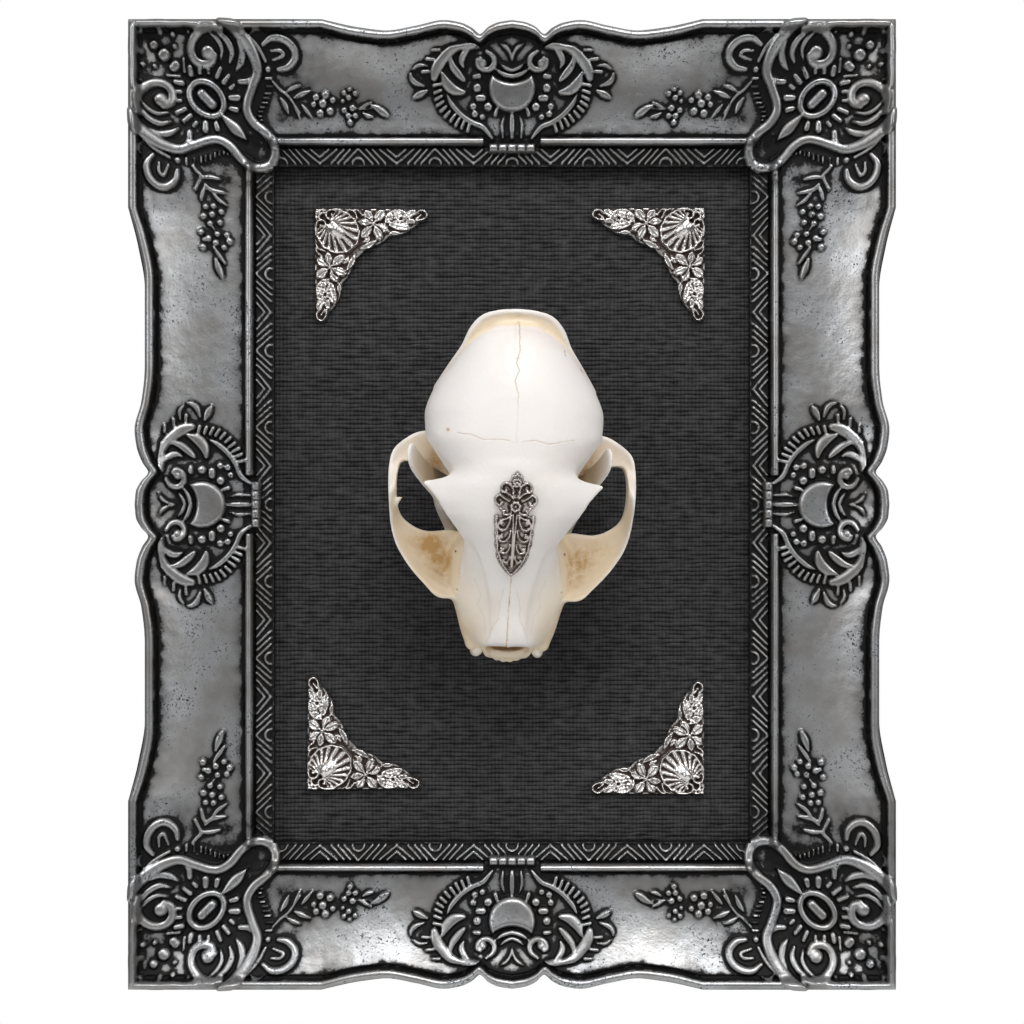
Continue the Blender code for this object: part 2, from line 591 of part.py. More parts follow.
def make_hanger(middle, collection, steel):
    """A toothed strip that stands a little off the pocket's floor, with a nail at each end."""
    low, high = middle - HANGER_HEIGHT / 2, middle + HANGER_HEIGHT / 2
    half = HANGER_WIDTH / 2
    outline = [(-half, high), (-half, low + HANGER_SHOULDER)]
    for k in range(2 * HANGER_TEETH + 1):
        x = HANGER_TOOTHED_WIDTH * (k / (2 * HANGER_TEETH) - 0.5)
        outline.append((x, low + k % 2 * HANGER_TOOTH_DEPTH))
    outline += [(half, low + HANGER_SHOULDER), (half, high)]
    front = POCKET_DEPTH - HANGER_STAND_OFF
    back = front - HANGER_THICKNESS
    plate_from(outline, back, front, "wall_hanger", collection, steel)
    for name, x in (("left", NAIL_INSET - half), ("right", half - NAIL_INSET)):
        bm = bmesh.new()
        shape = Matrix.Translation((x, -back + GAP + NAIL_HEAD / 2, middle))
        shape = shape @ Matrix.Rotation(math.pi / 2, 4, "X")
        bmesh.ops.create_cone(bm, cap_ends=True, segments=10, radius1=NAIL_RADIUS,
                              radius2=NAIL_RADIUS, depth=NAIL_HEAD, matrix=shape)
        object_from(bm, f"hanger_nail_{name}", collection, steel)


def make_card_corners(collection, cutters, silver):
    """Stamped leaf angles, one near each corner of the card."""
    half = [(a * MM, -b * MM) for a, b in CORNER_HALF]
    half.insert(0, (CORNER_LEG_ROOT[0] * MM, -CORNER_LEG_ROOT[1] * MM))
    outline = [(0, 0), *half, *((-b, -a) for a, b in reversed(half))]
    for k, corner in enumerate(CORNERS):
        x, z = CORNER_PLACES[corner]
        turn = (0, k * math.pi / 2, 0)
        place = (x * MM, -CARD_FACE - GAP, z * MM)
        plate = plate_from(outline, 0, CORNER_PLATE, f"card_corner_{corner}", collection, silver)
        plate.location, plate.rotation_euler = place, turn
        bm = bmesh.new()
        lift = -CORNER_PLATE / 2
        size = (SHELL_RADIUS, SHELL_RELIEF, SHELL_RADIUS)
        dome((SHELL_PLACE, lift, -SHELL_PLACE), size, bm, 8, 5)
        for a, b in (FLOWER_PLACE, FLOWER_PLACE[::-1]):
            dome((a, lift, -b), (FLOWER_RADIUS, FLOWER_RELIEF, FLOWER_RADIUS), bm, 6, 4)
        bosses = object_from(bm, f"bosses_{corner}", cutters, silver)
        bosses.location, bosses.rotation_euler = place, turn
        add_boolean(plate, as_cutter(bosses), "UNION")
        near, far = -CORNER_TRIM_MARGIN, CORNER_TRIM_REACH
        trim = box(f"trim_{corner}", (near, 0, -far), (far, CORNER_TRIM_DEPTH, -near), cutters,
                   silver)
        trim.location, trim.rotation_euler = place, turn
        add_boolean(plate, as_cutter(trim), "DIFFERENCE")


def on_skull(along, across, height):
    """A place on the skull in its own frame, from values in mm."""
    return Vector((across * MM, -height * MM, SKULL_LENGTH / 2 - along * MM))


def cranium_ring(along):
    """One section of the cranium: a dome, then the side wall, then the base."""
    top = smooth_value(TOP_LINE, along)
    roof, edge = smooth_value(ROOF_HALF, along), smooth_value(ROOF_EDGE, along)
    half = []
    for degrees in DOME_ANGLES:
        turn = math.radians(degrees)
        half.append((roof * math.sin(turn), edge + (top - edge) * math.cos(turn)))
    spur = smooth_value(SPUR_REACH, along)
    half.append((roof + spur, edge - SPUR_DROP * spur))
    half.append((smooth_value(WALL_HALF, along), smooth_value(WALL_LEVEL, along)))
    floor, base = smooth_value(FLOOR_HALF, along), smooth_value(BASE_LINE, along)
    half.append((floor, smooth_value(FLOOR_LEVEL, along)))
    half += [(BASE_SHARE * floor, base), (0, base + BASE_RISE)]
    other = [(-x, h) for x, h in reversed(half[1:-1])]
    return [on_skull(along, x, h) for x, h in half + other]


def tooth(bm, place, size, height):
    """Adds a blade-like crown on a place; height is negative for one that points at the card."""
    along, across, root = place
    half_length, half_width = size
    shape = Matrix.Translation(on_skull(along, across, root + height / 2))
    shape = shape @ Matrix.Diagonal((half_width * MM, 1, half_length * MM, 1))
    shape = shape @ Matrix.Rotation(math.copysign(math.pi / 2, height), 4, "X")
    bmesh.ops.create_cone(bm, cap_ends=True, segments=6, radius1=1, radius2=TOOTH_TIP_SHARE,
                          depth=abs(height) * MM, matrix=shape)


def make_cranium(holder, collection, cutters, bone):
    """Brain case, forehead, snout and palate as one bone, with the teeth that grow from it."""
    cranium = object_from(loft([cranium_ring(u) for u in CRANIUM_STATIONS]), "cranium",
                          collection, bone, holder)
    bm = bmesh.new()
    along, across, height = BULLA_PLACE
    long_half, wide_half, deep_half = (value * MM for value in BULLA_SIZE)
    for side in (-1, 1):
        dome(on_skull(along, side * across, height), (wide_half, deep_half, long_half), bm, 8, 6)
        for place, out, *size, crown in UPPER_TEETH:
            tooth(bm, (place, side * out, UPPER_TOOTH_ROOT), size, -crown)
    growths = as_cutter(object_from(bm, "growths", cutters, bone, holder))
    add_boolean(cranium, growths, "UNION")
    bm = bmesh.new()
    shape = Matrix.Translation(on_skull(0, 0, MAGNUM_HEIGHT / MM))
    bmesh.ops.create_cone(bm, cap_ends=True, segments=10, radius1=MAGNUM_RADIUS,
                          radius2=MAGNUM_RADIUS, depth=2 * MAGNUM_DEPTH, matrix=shape)
    shape = Matrix.Translation(on_skull(*NOSE_PLACE))
    shape = shape @ Matrix.Rotation(NOSE_TILT, 4, "X")
    shape = shape @ Matrix.Diagonal((NOSE_HALF_WIDTH, NOSE_HALF_HEIGHT, NOSE_DEPTH / 2, 1))
    bmesh.ops.create_cone(bm, cap_ends=True, segments=8, radius1=1, radius2=NOSE_NARROWING,
                          depth=2, matrix=shape)
    hollows = as_cutter(object_from(bm, "hollows", cutters, bone, holder))
    add_boolean(cranium, hollows, "DIFFERENCE")
    return cranium


def inflated_copy(obj, clearance, name, cutters):
    """A copy of an object's plain shape, a little larger all round, to cut its neighbours."""
    bm = bmesh.new()
    bm.from_mesh(obj.data)
    bm.normal_update()
    for vert in bm.verts:
        vert.co += vert.normal * clearance * max(vert.calc_shell_factor(), 1)
    bone = obj.data.materials[0]
    return as_cutter(object_from(bm, name, cutters, bone, obj.parent, turn=False))


def make_arch(name, side, holder, collection, bone):
    """One cheek arch, as a band that is thin at its middle and broad under the eye."""
    rows = zip(ARCH_OUTER, ARCH_INNER, ARCH_TOP, ARCH_INNER_TOP, ARCH_FOOT)
    rings = []
    for (u, x), (v, w), top, inner_top, foot in rows:
        ring = [(u, x, foot + 1), (u, x, top - 0.6), (0.8 * u + 0.2 * v, 0.8 * x + 0.2 * w, top)]
        ring += [(v, w, inner_top), (v, w, inner_top - 1.6), (0.5 * u + 0.5 * v,
                                                              0.5 * x + 0.5 * w, foot)]
        rings.append([on_skull(a, side * b, h) for a, b, h in ring])
    return object_from(loft(rings), name, collection, bone, holder)


def make_jaw(name, side, holder, collection, cutters, bone):
    """Half of the lower jaw: a plate with its outline seen from the side, bent to the head."""
    bm = bmesh.new()
    bm.faces.new([bm.verts.new((0, -h * MM, -u * MM)) for u, h in JAW_OUTLINE])
    for along, _ in JAW_BEND[1:-1]:
        everything = [*bm.verts, *bm.edges, *bm.faces]
        place = (0, 0, -along * MM)
        bmesh.ops.bisect_plane(bm, geom=everything, plane_co=place, plane_no=(0, 0, 1))
    faces = bmesh.ops.triangulate(bm, faces=bm.faces)["faces"]
    inner = bmesh.ops.extrude_face_region(bm, geom=faces)["geom"]
    thickness = {vert: JAW_THICKNESS for vert in inner if isinstance(vert, bmesh.types.BMVert)}
    for vert in bm.verts:
        along = -vert.co.z / MM
        middle = smooth_value(JAW_BEND, along) * MM
        slim = BLADE_SHARE if -vert.co.y > BLADE_START else 1
        offset = middle + slim * (thickness.get(vert, 0) - JAW_THICKNESS / 2)
        vert.co = (side * offset, vert.co.y - JAW_SHIFT, SKULL_LENGTH / 2 + vert.co.z)
    jaw = object_from(bm, name, collection, bone, holder)
    bm = bmesh.new()
    for place, out, *size, crown in LOWER_TEETH:
        tooth(bm, (place, side * out, LOWER_TOOTH_ROOT), size, crown)
    teeth = as_cutter(object_from(bm, f"teeth_of_{name}", cutters, bone, holder))
    add_boolean(jaw, teeth, "UNION")
    return jaw


def make_canine(name, side, holder, collection, ivory):
    """An upper eye tooth as a curved, tapering crown."""
    rings = []
    for along, across, height, radius in UPPER_CANINE:
        ring = []
        for k in range(CANINE_SIDES):
            turn = 2 * math.pi * k / CANINE_SIDES
            out = across + CANINE_FLATNESS * radius * math.sin(turn)
            ring.append(on_skull(along + radius * math.cos(turn), side * out, height))
        rings.append(ring)
    return object_from(loft(rings), name, collection, ivory, holder)


def make_leaf(holder, collection, cutters, cranium_cutter, silver):
    """The stamped leaf with its flower, bent over the forehead by cutting it to the bone."""
    shift, lift = LEAF_SHIFT / MM, LEAF_LIFT / MM
    sections = []
    for down, width in LEAF_HALF:
        along = LEAF_START / MM + down
        top = smooth_value(TOP_LINE, along) + lift
        edge = top - LEAF_SAG / MM
        foot = edge - LEAF_DEPTH / MM
        section = [(-width, foot), (-width, edge), (0, top), (width, edge), (width, foot)]
        sections.append([on_skull(along, shift + x, height) for x, height in section])
    leaf = object_from(loft(sections), "forehead_leaf", collection, silver, holder)
    bm = bmesh.new()
    along = (LEAF_START + LEAF_FLOWER_PLACE) / MM
    size = (LEAF_FLOWER_RADIUS, LEAF_FLOWER_RELIEF, LEAF_FLOWER_RADIUS)
    dome(on_skull(along, shift, smooth_value(TOP_LINE, along) + lift), size, bm, 8, 4)
    flower = as_cutter(object_from(bm, "leaf_flower", cutters, silver, holder))
    add_boolean(leaf, flower, "UNION")
    add_boolean(leaf, cranium_cutter, "DIFFERENCE")
    return leaf


def make_skull(collection, cutters, materials):
    """Cranium, cheek arches, both halves of the lower jaw and the upper eye teeth."""
    bone = materials["bone"]
    place = (SKULL_CENTRE_X, -CARD_FACE, SKULL_CENTRE_Z)
    jaw_rest = make_empty("jaw_rest", collection, place, (0, SKULL_TURN, 0))
    head_rest = make_empty("head_rest", collection, (0, 0, 0), (0, 0, SKULL_ROLL), jaw_rest)
    cranium = make_cranium(head_rest, collection, cutters, bone)
    bpy.context.view_layer.update()
    around_cranium = inflated_copy(cranium, SKULL_CLEARANCE, "around_cranium", cutters)
    for name, side in (("left", -1), ("right", 1)):
        arch = make_arch(f"cheek_arch_{name}", side, head_rest, collection, bone)
        add_boolean(arch, around_cranium, "DIFFERENCE")
        jaw = make_jaw(f"jaw_{name}", side, jaw_rest, collection, cutters, bone)
        add_boolean(jaw, around_cranium, "DIFFERENCE")
        canine = make_canine(f"canine_{name}", side, head_rest, collection, materials["tooth"])
        add_boolean(canine, around_cranium, "DIFFERENCE")
    make_leaf(head_rest, collection, cutters, around_cranium, materials["bright_silver"])


def main():
    clear_scene()
    collection = make_collection("mounted_cat_skull")
    cutters = make_collection("cutters")
    materials = make_materials()
    rails = make_frame(collection, materials["antique_silver"])
    make_backing(collection, cutters, materials, rails)
    make_card_corners(collection, cutters, materials["bright_silver"])
    make_skull(collection, cutters, materials)


main()
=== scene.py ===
"""A cat skull on black card in an antique silver frame, dressed for the studio.

All shapes are worked out in millimetres and turned into metres when their meshes are made.
The wall is the plane Y = 0, the front looks along -Y, +Z is up and +X is the viewer's right.
Heights are distances in front of the wall, and for the skull in front of the card.
"""

from __future__ import annotations

import logging
import math
from dataclasses import dataclass, field, replace
from enum import Enum
from typing import Callable, Sequence

import bmesh
import bpy
import numpy as np
from mathutils import Matrix, Vector
from mathutils.geometry import tessellate_polygon


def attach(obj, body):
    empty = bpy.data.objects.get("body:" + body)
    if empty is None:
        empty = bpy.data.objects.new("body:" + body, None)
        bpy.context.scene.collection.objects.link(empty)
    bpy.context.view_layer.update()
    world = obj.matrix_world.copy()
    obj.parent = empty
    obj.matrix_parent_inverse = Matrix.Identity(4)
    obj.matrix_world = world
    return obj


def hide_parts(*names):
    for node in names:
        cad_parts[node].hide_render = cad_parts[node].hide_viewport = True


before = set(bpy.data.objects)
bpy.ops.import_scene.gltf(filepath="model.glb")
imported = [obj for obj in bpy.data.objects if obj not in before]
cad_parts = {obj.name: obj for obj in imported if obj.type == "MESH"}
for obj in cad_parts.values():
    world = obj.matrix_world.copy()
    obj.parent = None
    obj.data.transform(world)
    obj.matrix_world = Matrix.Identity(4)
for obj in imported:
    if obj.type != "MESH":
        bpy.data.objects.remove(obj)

Array = np.ndarray
Line = Sequence[tuple[float, ...]]
Place = Callable[[float, float], tuple[float, float]]
Colour = tuple[float, float, float, float]
Material = bpy.types.Material
Socket = bpy.types.NodeSocket
LOG = logging.getLogger("cat_skull")
MM = 0.001
BODY = "root"
CORNERS = ("top_left", "top_right", "bottom_right", "bottom_left")


# ---------------------------------------------------------------- curves and grids


def tenths(size: int, *numbers: float) -> Line:
    """Reads points of so many numbers each, given in tenths of a millimetre."""
    return tuple(zip(*(tuple(number / 10 for number in numbers[k::size]) for k in range(size))))


def curve(points: Line, at: Array) -> Array:
    """Reads a curve that never overshoots between its points.

    Args:
        points: its (place, value) points, in order of place.
        at: the places to read.

    Returns:
        The value at each place.
    """
    places, values = np.array(points, float).T[:2]
    widths = np.diff(places)
    slopes = np.diff(values) / widths
    before, after = slopes[:-1], slopes[1:]
    turning = before * after <= 0
    inner = np.where(turning, 0.0, 2 * before * after / np.where(turning, 1.0, before + after))
    tangents = np.concatenate([slopes[:1], inner, slopes[-1:]])
    at = np.clip(at, places[0], places[-1])
    i = np.clip(np.searchsorted(places, at) - 1, 0, len(slopes) - 1)
    f = (at - places[i]) / widths[i]
    leave = f * (1 - f) ** 2 * widths[i] * tangents[i]
    arrive = f * f * (f - 1) * widths[i] * tangents[i + 1]
    return values[i] + (values[i + 1] - values[i]) * (f * f * (3 - 2 * f)) + leave + arrive


def rise(value: Array, low: float, high: float) -> Array:
    """Rises smoothly from 0 at low to 1 at high."""
    f = np.clip((value - low) / (high - low), 0, 1)
    return f * f * (3 - 2 * f)


def bell(value: Array, width: float) -> Array:
    """Falls from 1 at 0 to nothing beyond a width."""
    return np.exp(-((value / width) ** 2))


def spline(points: Line, step: float) -> Array:
    """Samples a smooth curve through points of any dimension.

    Args:
        points: the points.
        step: the largest distance between samples.

    Returns:
        The samples, one row each.
    """
    knots = np.array(points, float)
    if len(knots) < 2:
        return knots
    padded = np.concatenate([[2 * knots[0] - knots[1]], knots, [2 * knots[-1] - knots[-2]]])
    rows = []
    for a, b, c, d in zip(padded, padded[1:], padded[2:], padded[3:]):
        count = max(int(math.ceil(float(np.linalg.norm((c - b)[:3])) / step)), 1)
        f = (np.arange(count) / count)[:, None]
        turn = (2 * a - 5 * b + 4 * c - d) * f + (3 * b - a - 3 * c + d) * f * f
        rows.append(b + (c - a + turn) * f / 2)
    return np.concatenate([*rows, knots[-1:]])


def distance(line: Line, x: Array, y: Array, closed: bool = False) -> Array:
    """Works out the distance to a line in a plane.

    Args:
        line: its points.
        x: first coordinate of each place.
        y: second coordinate of each place.
        closed: whether it is an outline, with negative distances inside.

    Returns:
        The distance at each place.
    """
    nearest, inside = np.full(x.shape, np.inf), np.zeros(x.shape, bool)
    corners = [(p[0], p[1]) for p in line]
    for (px, py), (qx, qy) in zip(corners, corners[1:] + corners[:1] * closed):
        ex, ey = qx - px, qy - py
        f = np.clip(((x - px) * ex + (y - py) * ey) / (ex * ex + ey * ey + 1e-12), 0, 1)
        nearest = np.minimum(nearest, np.hypot(x - px - f * ex, y - py - f * ey))
        if closed and ey:
            inside ^= ((py > y) != (qy > y)) & (x < px + (y - py) * ex / ey)
    return np.where(inside, -nearest, nearest)


def blur(values: Array, reach: int | Sequence[int]) -> Array:
    """Softens an array of any dimension with two passes of a box filter.

    Args:
        values: the array.
        reach: how many cells each pass reaches to both sides, for all axes or for each.

    Returns:
        The softened array.
    """
    out = values.astype(np.float32)
    for axis, cells in enumerate(np.broadcast_to(reach, (values.ndim,))):
        for _ in range(2 if cells else 0):
            moved = np.moveaxis(out, axis, 0)
            edge = [(cells + 1, cells)] + [(0, 0)] * (values.ndim - 1)
            total = np.cumsum(np.pad(moved, edge, mode="edge"), axis=0, dtype=np.float64)
            mean = (total[2 * cells + 1 :] - total[: -2 * cells - 1]) / (2 * cells + 1)
            out = np.moveaxis(mean.astype(np.float32), 0, axis)
    return out


def speckle(shape: tuple[int, ...], reach: int | Sequence[int], seed: int) -> Array:
    """Makes smooth random values about 0 with a spread of 1, in blotches of a reach."""
    soft = blur(np.random.default_rng(seed).standard_normal(shape).astype(np.float32), reach)
    return (soft - soft.mean()) / soft.std()


def sample(values: Array, axes: tuple[Array, Array], p: Array, q: Array) -> Array:
    """Reads a raster between its cells.

    Args:
        values: the raster.
        axes: the even places of its rows and of its columns.
        p: places among the rows.
        q: places among the columns.

    Returns:
        The value at each place.
    """
    i, j = (np.clip((at - axis[0]) / (axis[1] - axis[0]), 0, len(axis) - 1.001)
            for at, axis in zip((p, q), axes))
    a, b = i.astype(int), j.astype(int)
    low, high = (values[a, k] * (1 - i + a) + values[a + 1, k] * (i - a) for k in (b, b + 1))
    return low * (1 - j + b) + high * (j - b)


def window(axes: Sequence[Array], line: Line, reach: float) -> tuple[slice, ...]:
    """Gives the cells of a grid that are within a reach of a line's points.

    Args:
        axes: the places of the grid's cells along each axis.
        line: the points.
        reach: how far from them a cell may be.

    Returns:
        One slice for each axis.
    """
    places = np.array(line, float)[:, : len(axes)]
    low, high = places.min(axis=0) - reach, places.max(axis=0) + reach
    return tuple(slice(*np.searchsorted(axis, ends)) for axis, *ends in zip(axes, low, high))


# ---------------------------------------------------------------- meshes


def add_piece(name: str, points: Array, faces: Sequence[Array], material: Material,
              masks: dict[str, Array], nodes: Sequence[str] = (),
              sharp_above: float = 180.0) -> None:
    """Makes a smooth-shaded mesh object, its faces turned outwards, and reports it.

    Args:
        name: the object's name.
        points: vertex places in mm, one row each.
        faces: arrays of vertex numbers, each for faces of one number of corners.
        material: its finish.
        masks: values at each vertex, by attribute name.
        nodes: the CAD nodes that it replaces.
        sharp_above: edges that turn by more than this many degrees stay sharp.
    """
    fans = [group[:, [0, k, k + 1]] for group in faces for k in range(1, group.shape[1] - 1)]
    if np.linalg.det(points[np.concatenate(fans)]).sum() < 0:
        faces = [group[:, ::-1] for group in faces]
    corners = np.concatenate([group.ravel() for group in faces])
    sides = np.concatenate([np.full(len(group), group.shape[1]) for group in faces])
    mesh = bpy.data.meshes.new(name)
    mesh.vertices.add(len(points))
    mesh.vertices.foreach_set("co", (points * MM).astype(np.float32).ravel())
    mesh.loops.add(len(corners))
    mesh.loops.foreach_set("vertex_index", corners.astype(np.int32))
    mesh.polygons.add(len(sides))
    mesh.polygons.foreach_set("loop_start", (np.cumsum(sides) - sides).astype(np.int32))
    mesh.update(calc_edges=True)
    mesh.validate()
    mesh.shade_smooth()
    if sharp_above < 180:
        mesh.set_sharp_from_angle(angle=math.radians(sharp_above))
    for label, values in masks.items():
        layer = mesh.attributes.new(label, "FLOAT", "POINT")
        layer.data.foreach_set("value", values.astype(np.float32).ravel())
    mesh.materials.append(material)
    obj = bpy.data.objects.new(name, mesh)
    bpy.context.scene.collection.objects.link(obj)
    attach(obj, BODY)
    if nodes:
        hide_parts(*nodes)
    LOG.info("%s: %d faces", name, len(mesh.polygons))


def grid_faces(rows: int, columns: int, ring: bool = False) -> Array:
    """Numbers the four-sided faces of a grid of vertices.

    Args:
        rows: how many rows the grid has.
        columns: how many vertices each row has.
        ring: whether each row's last vertex joins its first.

    Returns:
        Vertex numbers, one row for each face.
    """
    r = columns * np.arange(rows - 1)[:, None]
    c = np.arange(columns if ring else columns - 1)[None, :]
    after = (c + 1) % columns
    corners = (r + c, r + after, r + columns + after, r + columns + c)
    return np.stack(corners, axis=-1).reshape(-1, 4)


@dataclass
class Shell:
    """Collects simple closed shapes, in mm, that become one object together."""

    points: list[Array] = field(default_factory=list)
    quads: list[Array] = field(default_factory=list)
    triangles: list[Array] = field(default_factory=list)
    masks: list[Array] = field(default_factory=list)
    count: int = 0

    def loft(self, rings: Array, mask: Array | float = 0.0) -> None:
        """Adds a body skinned over rings, each end closed by a point in its middle.

        Args:
            rings: vertices as (ring, place on the ring, axis).
            mask: a value for each ring, or one for all.
        """
        many, around = rings.shape[:2]
        points = np.concatenate([rings.reshape(-1, 3), rings[[0, -1]].mean(axis=1)])
        k = np.arange(around)
        after, first, top = (k + 1) % around, many * around, (many - 1) * around
        quads = grid_faces(many, around, True)
        low = np.stack([np.full(around, first), after, k], axis=1)
        high = np.stack([np.full(around, first + 1), top + k, top + after], axis=1)
        triangles = np.concatenate([low, high])
        fans = np.concatenate([quads[:, :3], quads[:, [0, 2, 3]], triangles])
        if np.linalg.det((points - points.mean(axis=0))[fans]).sum() < 0:
            quads, triangles = quads[:, ::-1], triangles[:, ::-1]
        rows = np.broadcast_to(mask, (many,))
        self.points.append(points)
        self.quads.append(quads + self.count)
        self.triangles.append(triangles + self.count)
        self.masks.append(np.concatenate([np.repeat(rows, around), rows[[0, -1]]]))
        self.count += len(points)

    def build(self, name: str, material: Material, slot: str, *nodes: str) -> None:
        """Makes the object, whose masks become its attribute called cavity.

        Args:
            name: the object's name.
            material: its finish.
            slot: not used.
            nodes: the CAD nodes that it replaces.
        """
        faces = [np.concatenate(self.quads), np.concatenate(self.triangles)]
        masks = {"cavity": np.concatenate(self.masks)}
        add_piece(name, np.concatenate(self.points), faces, material, masks, nodes)


# ---------------------------------------------------------------- shader building


class Nodes:
    """A node tree that is built by naming each node's inputs."""

    place: Socket

    def __init__(self, tree: bpy.types.NodeTree) -> None:
        """Starts on an empty tree."""
        self.tree = tree
        tree.nodes.clear()

    def add(self, kind: str, settings: dict[str, object] | None = None,
            **inputs: object) -> bpy.types.Node:
        """Adds a node.

        Args:
            kind: the node's type, without the ShaderNode prefix.
            settings: attributes of the node to set.
            inputs: values or sockets, by input name with _ for a space, or by number as i0.

        Returns:
            The node.
        """
        node = self.tree.nodes.new(kind if kind.startswith("Node") else "ShaderNode" + kind)
        for label, value in (settings or {}).items():
            setattr(node, label, value)
        for label, value in inputs.items():
            number = label[1:].isdigit() and label[0] == "i"
            socket = node.inputs[int(label[1:]) if number else label.replace("_", " ")]
            if isinstance(value, Socket):
                self.tree.links.new(value, socket)
            else:
                socket.default_value = value
        return node

    def math(self, operation: str, *values: object) -> Socket:
        """Adds a Math node and gives its output."""
        inputs = {f"i{k}": value for k, value in enumerate(values)}
        return self.add("Math", {"operation": operation}, **inputs).outputs[0]

    def mix(self, share: object, first: object, second: object) -> Socket:
        """Adds a colour mix and gives its output."""
        settings = {"data_type": "RGBA", "clamp_factor": True}
        return self.add("Mix", settings, i0=share, i6=first, i7=second).outputs[2]

    def ramp(self, value: object, low: float, high: float) -> Socket:
        """Adds a smooth rise from 0 at low to 1 at high and gives its output."""
        inputs = {"Value": value, "From_Min": low, "From_Max": high}
        return self.add("MapRange", {"interpolation_type": "SMOOTHSTEP"}, **inputs).outputs[0]

    def noise(self, scale: object, detail: float = 5.0, roughness: float = 0.6) -> Socket:
        """Adds a noise over the tree's own coordinates and gives its value."""
        return self.add("TexNoise", None, Vector=self.place, Scale=scale, Detail=detail,
                        Roughness=roughness).outputs["Fac"]


def colour(red: float, green: float, blue: float) -> Colour:
    """Gives an opaque colour."""
    return (red, green, blue, 1.0)


class ShaderGroup(Nodes):
    """A shader group being made, which reads a vector and numbers and puts out values."""

    def __init__(self, name: str, outputs: Sequence[str], **inputs: float) -> None:
        """Starts a group.

        Args:
            name: the group's name.
            outputs: names of its values.
            inputs: default values of its numbers, by name with _ for a space.
        """
        group = bpy.data.node_groups.new(name, "ShaderNodeTree")
        make = group.interface.new_socket
        make("Vector", in_out="INPUT", socket_type="NodeSocketVector")
        for label, value in inputs.items():
            made = make(label.replace("_", " "), in_out="INPUT", socket_type="NodeSocketFloat")
            made.default_value = value
        for label in outputs:
            make(label, in_out="OUTPUT", socket_type="NodeSocketFloat")
        super().__init__(group)
        self.given = self.add("NodeGroupInput").outputs
        self.place = self.given["Vector"]


class Effects:
    """The shader groups that several materials share, each built once."""

    def __init__(self) -> None:
        """Builds the groups."""
        self.patina, self.mottle, self.grain = self._patina(), self._mottle(), self._grain()

    @staticmethod
    def _patina() -> bpy.types.NodeTree:
        """Builds the mask of dark tarnish: hollows first, with a ragged border.

        Returns:
            The node group.
        """
        group = ShaderGroup("patina", ["Mask"], Cavity=0.0, Scale=600.0, Raggedness=0.35)
        given = group.given
        ragged = group.math("SUBTRACT", group.noise(given["Scale"], 6.0, 0.65), 0.5)
        shifted = group.math("MULTIPLY_ADD", ragged, given["Raggedness"], given["Cavity"])
        group.add("NodeGroupOutput", None, Mask=group.ramp(shifted, 0.55, 0.95))
        return group.tree

    @staticmethod
    def _mottle() -> bpy.types.NodeTree:
        """Builds a mask of blotches and one of small dark pits.

        Returns:
            The node group.
        """
        group = ShaderGroup("mottle", ["Blotch", "Pits"], Blotch_Scale=60.0, Pit_Scale=1500.0,
                            Pit_Amount=0.3)
        given = group.given
        blotch = group.noise(given["Blotch Scale"])
        pits = group.noise(given["Pit Scale"], 3.0, 0.7)
        level = group.math("ADD", pits, group.math("MULTIPLY_ADD", blotch, 0.6,
                                                   given["Pit Amount"]))
        group.add("NodeGroupOutput", None, Blotch=group.ramp(blotch, 0.3, 0.7),
                  Pits=group.ramp(level, 1.05, 1.2))
        return group.tree

    @staticmethod
    def _grain() -> bpy.types.NodeTree:
        """Builds a fine surface height from two sizes of noise.

        Returns:
            The node group.
        """
        group = ShaderGroup("grain", ["Height"], Scale=900.0, Coarse=0.4)
        scale = group.given["Scale"]
        fine = group.noise(scale, 4.0, 0.5)
        broad = group.noise(group.math("MULTIPLY", scale, 0.18), 3.0, 0.5)
        height = group.math("MULTIPLY_ADD", broad, group.given["Coarse"], fine)
        group.add("NodeGroupOutput", None, Height=height)
        return group.tree


class Bench(Nodes):
    """A material being made: its nodes, its coordinates and its output."""

    def __init__(self, name: str) -> None:
        """Starts an empty material.

        Args:
            name: the material's name.
        """
        self.material = bpy.data.materials.new(name)
        self.material.use_nodes = True
        super().__init__(self.material.node_tree)
        self.place = self.add("TexCoord").outputs["Object"]

    def mask(self, name: str) -> Socket:
        """Reads a value that the mesh carries at its vertices."""
        return self.add("Attribute", {"attribute_name": name}).outputs["Fac"]

    def effect(self, tree: bpy.types.NodeTree, **inputs: object) -> Sequence[Socket]:
        """Places a shared group over the object's own coordinates and gives its outputs."""
        return self.add("Group", {"node_tree": tree}, Vector=self.place, **inputs).outputs

    def spread(self, value: object, low: float, high: float) -> Socket:
        """Stretches a value from 0 and 1 to low and high."""
        return self.add("MapRange", None, Value=value, To_Min=low, To_Max=high).outputs[0]

    def finish(self, height: Socket, strength: float, depth: float,
               **inputs: object) -> Material:
        """Adds the shader with its bump and closes the material.

        Args:
            height: value that the bump follows.
            strength: how strong the bump is.
            depth: how deep it is, in metres.
            inputs: the shader's own inputs.

        Returns:
            The material.
        """
        bump = self.add("Bump", None, Strength=strength, Distance=depth, Height=height)
        shader = self.add("BsdfPrincipled", None, Normal=bump.outputs[0], **inputs)
        self.add("OutputMaterial", None, Surface=shader.outputs[0])
        return self.material


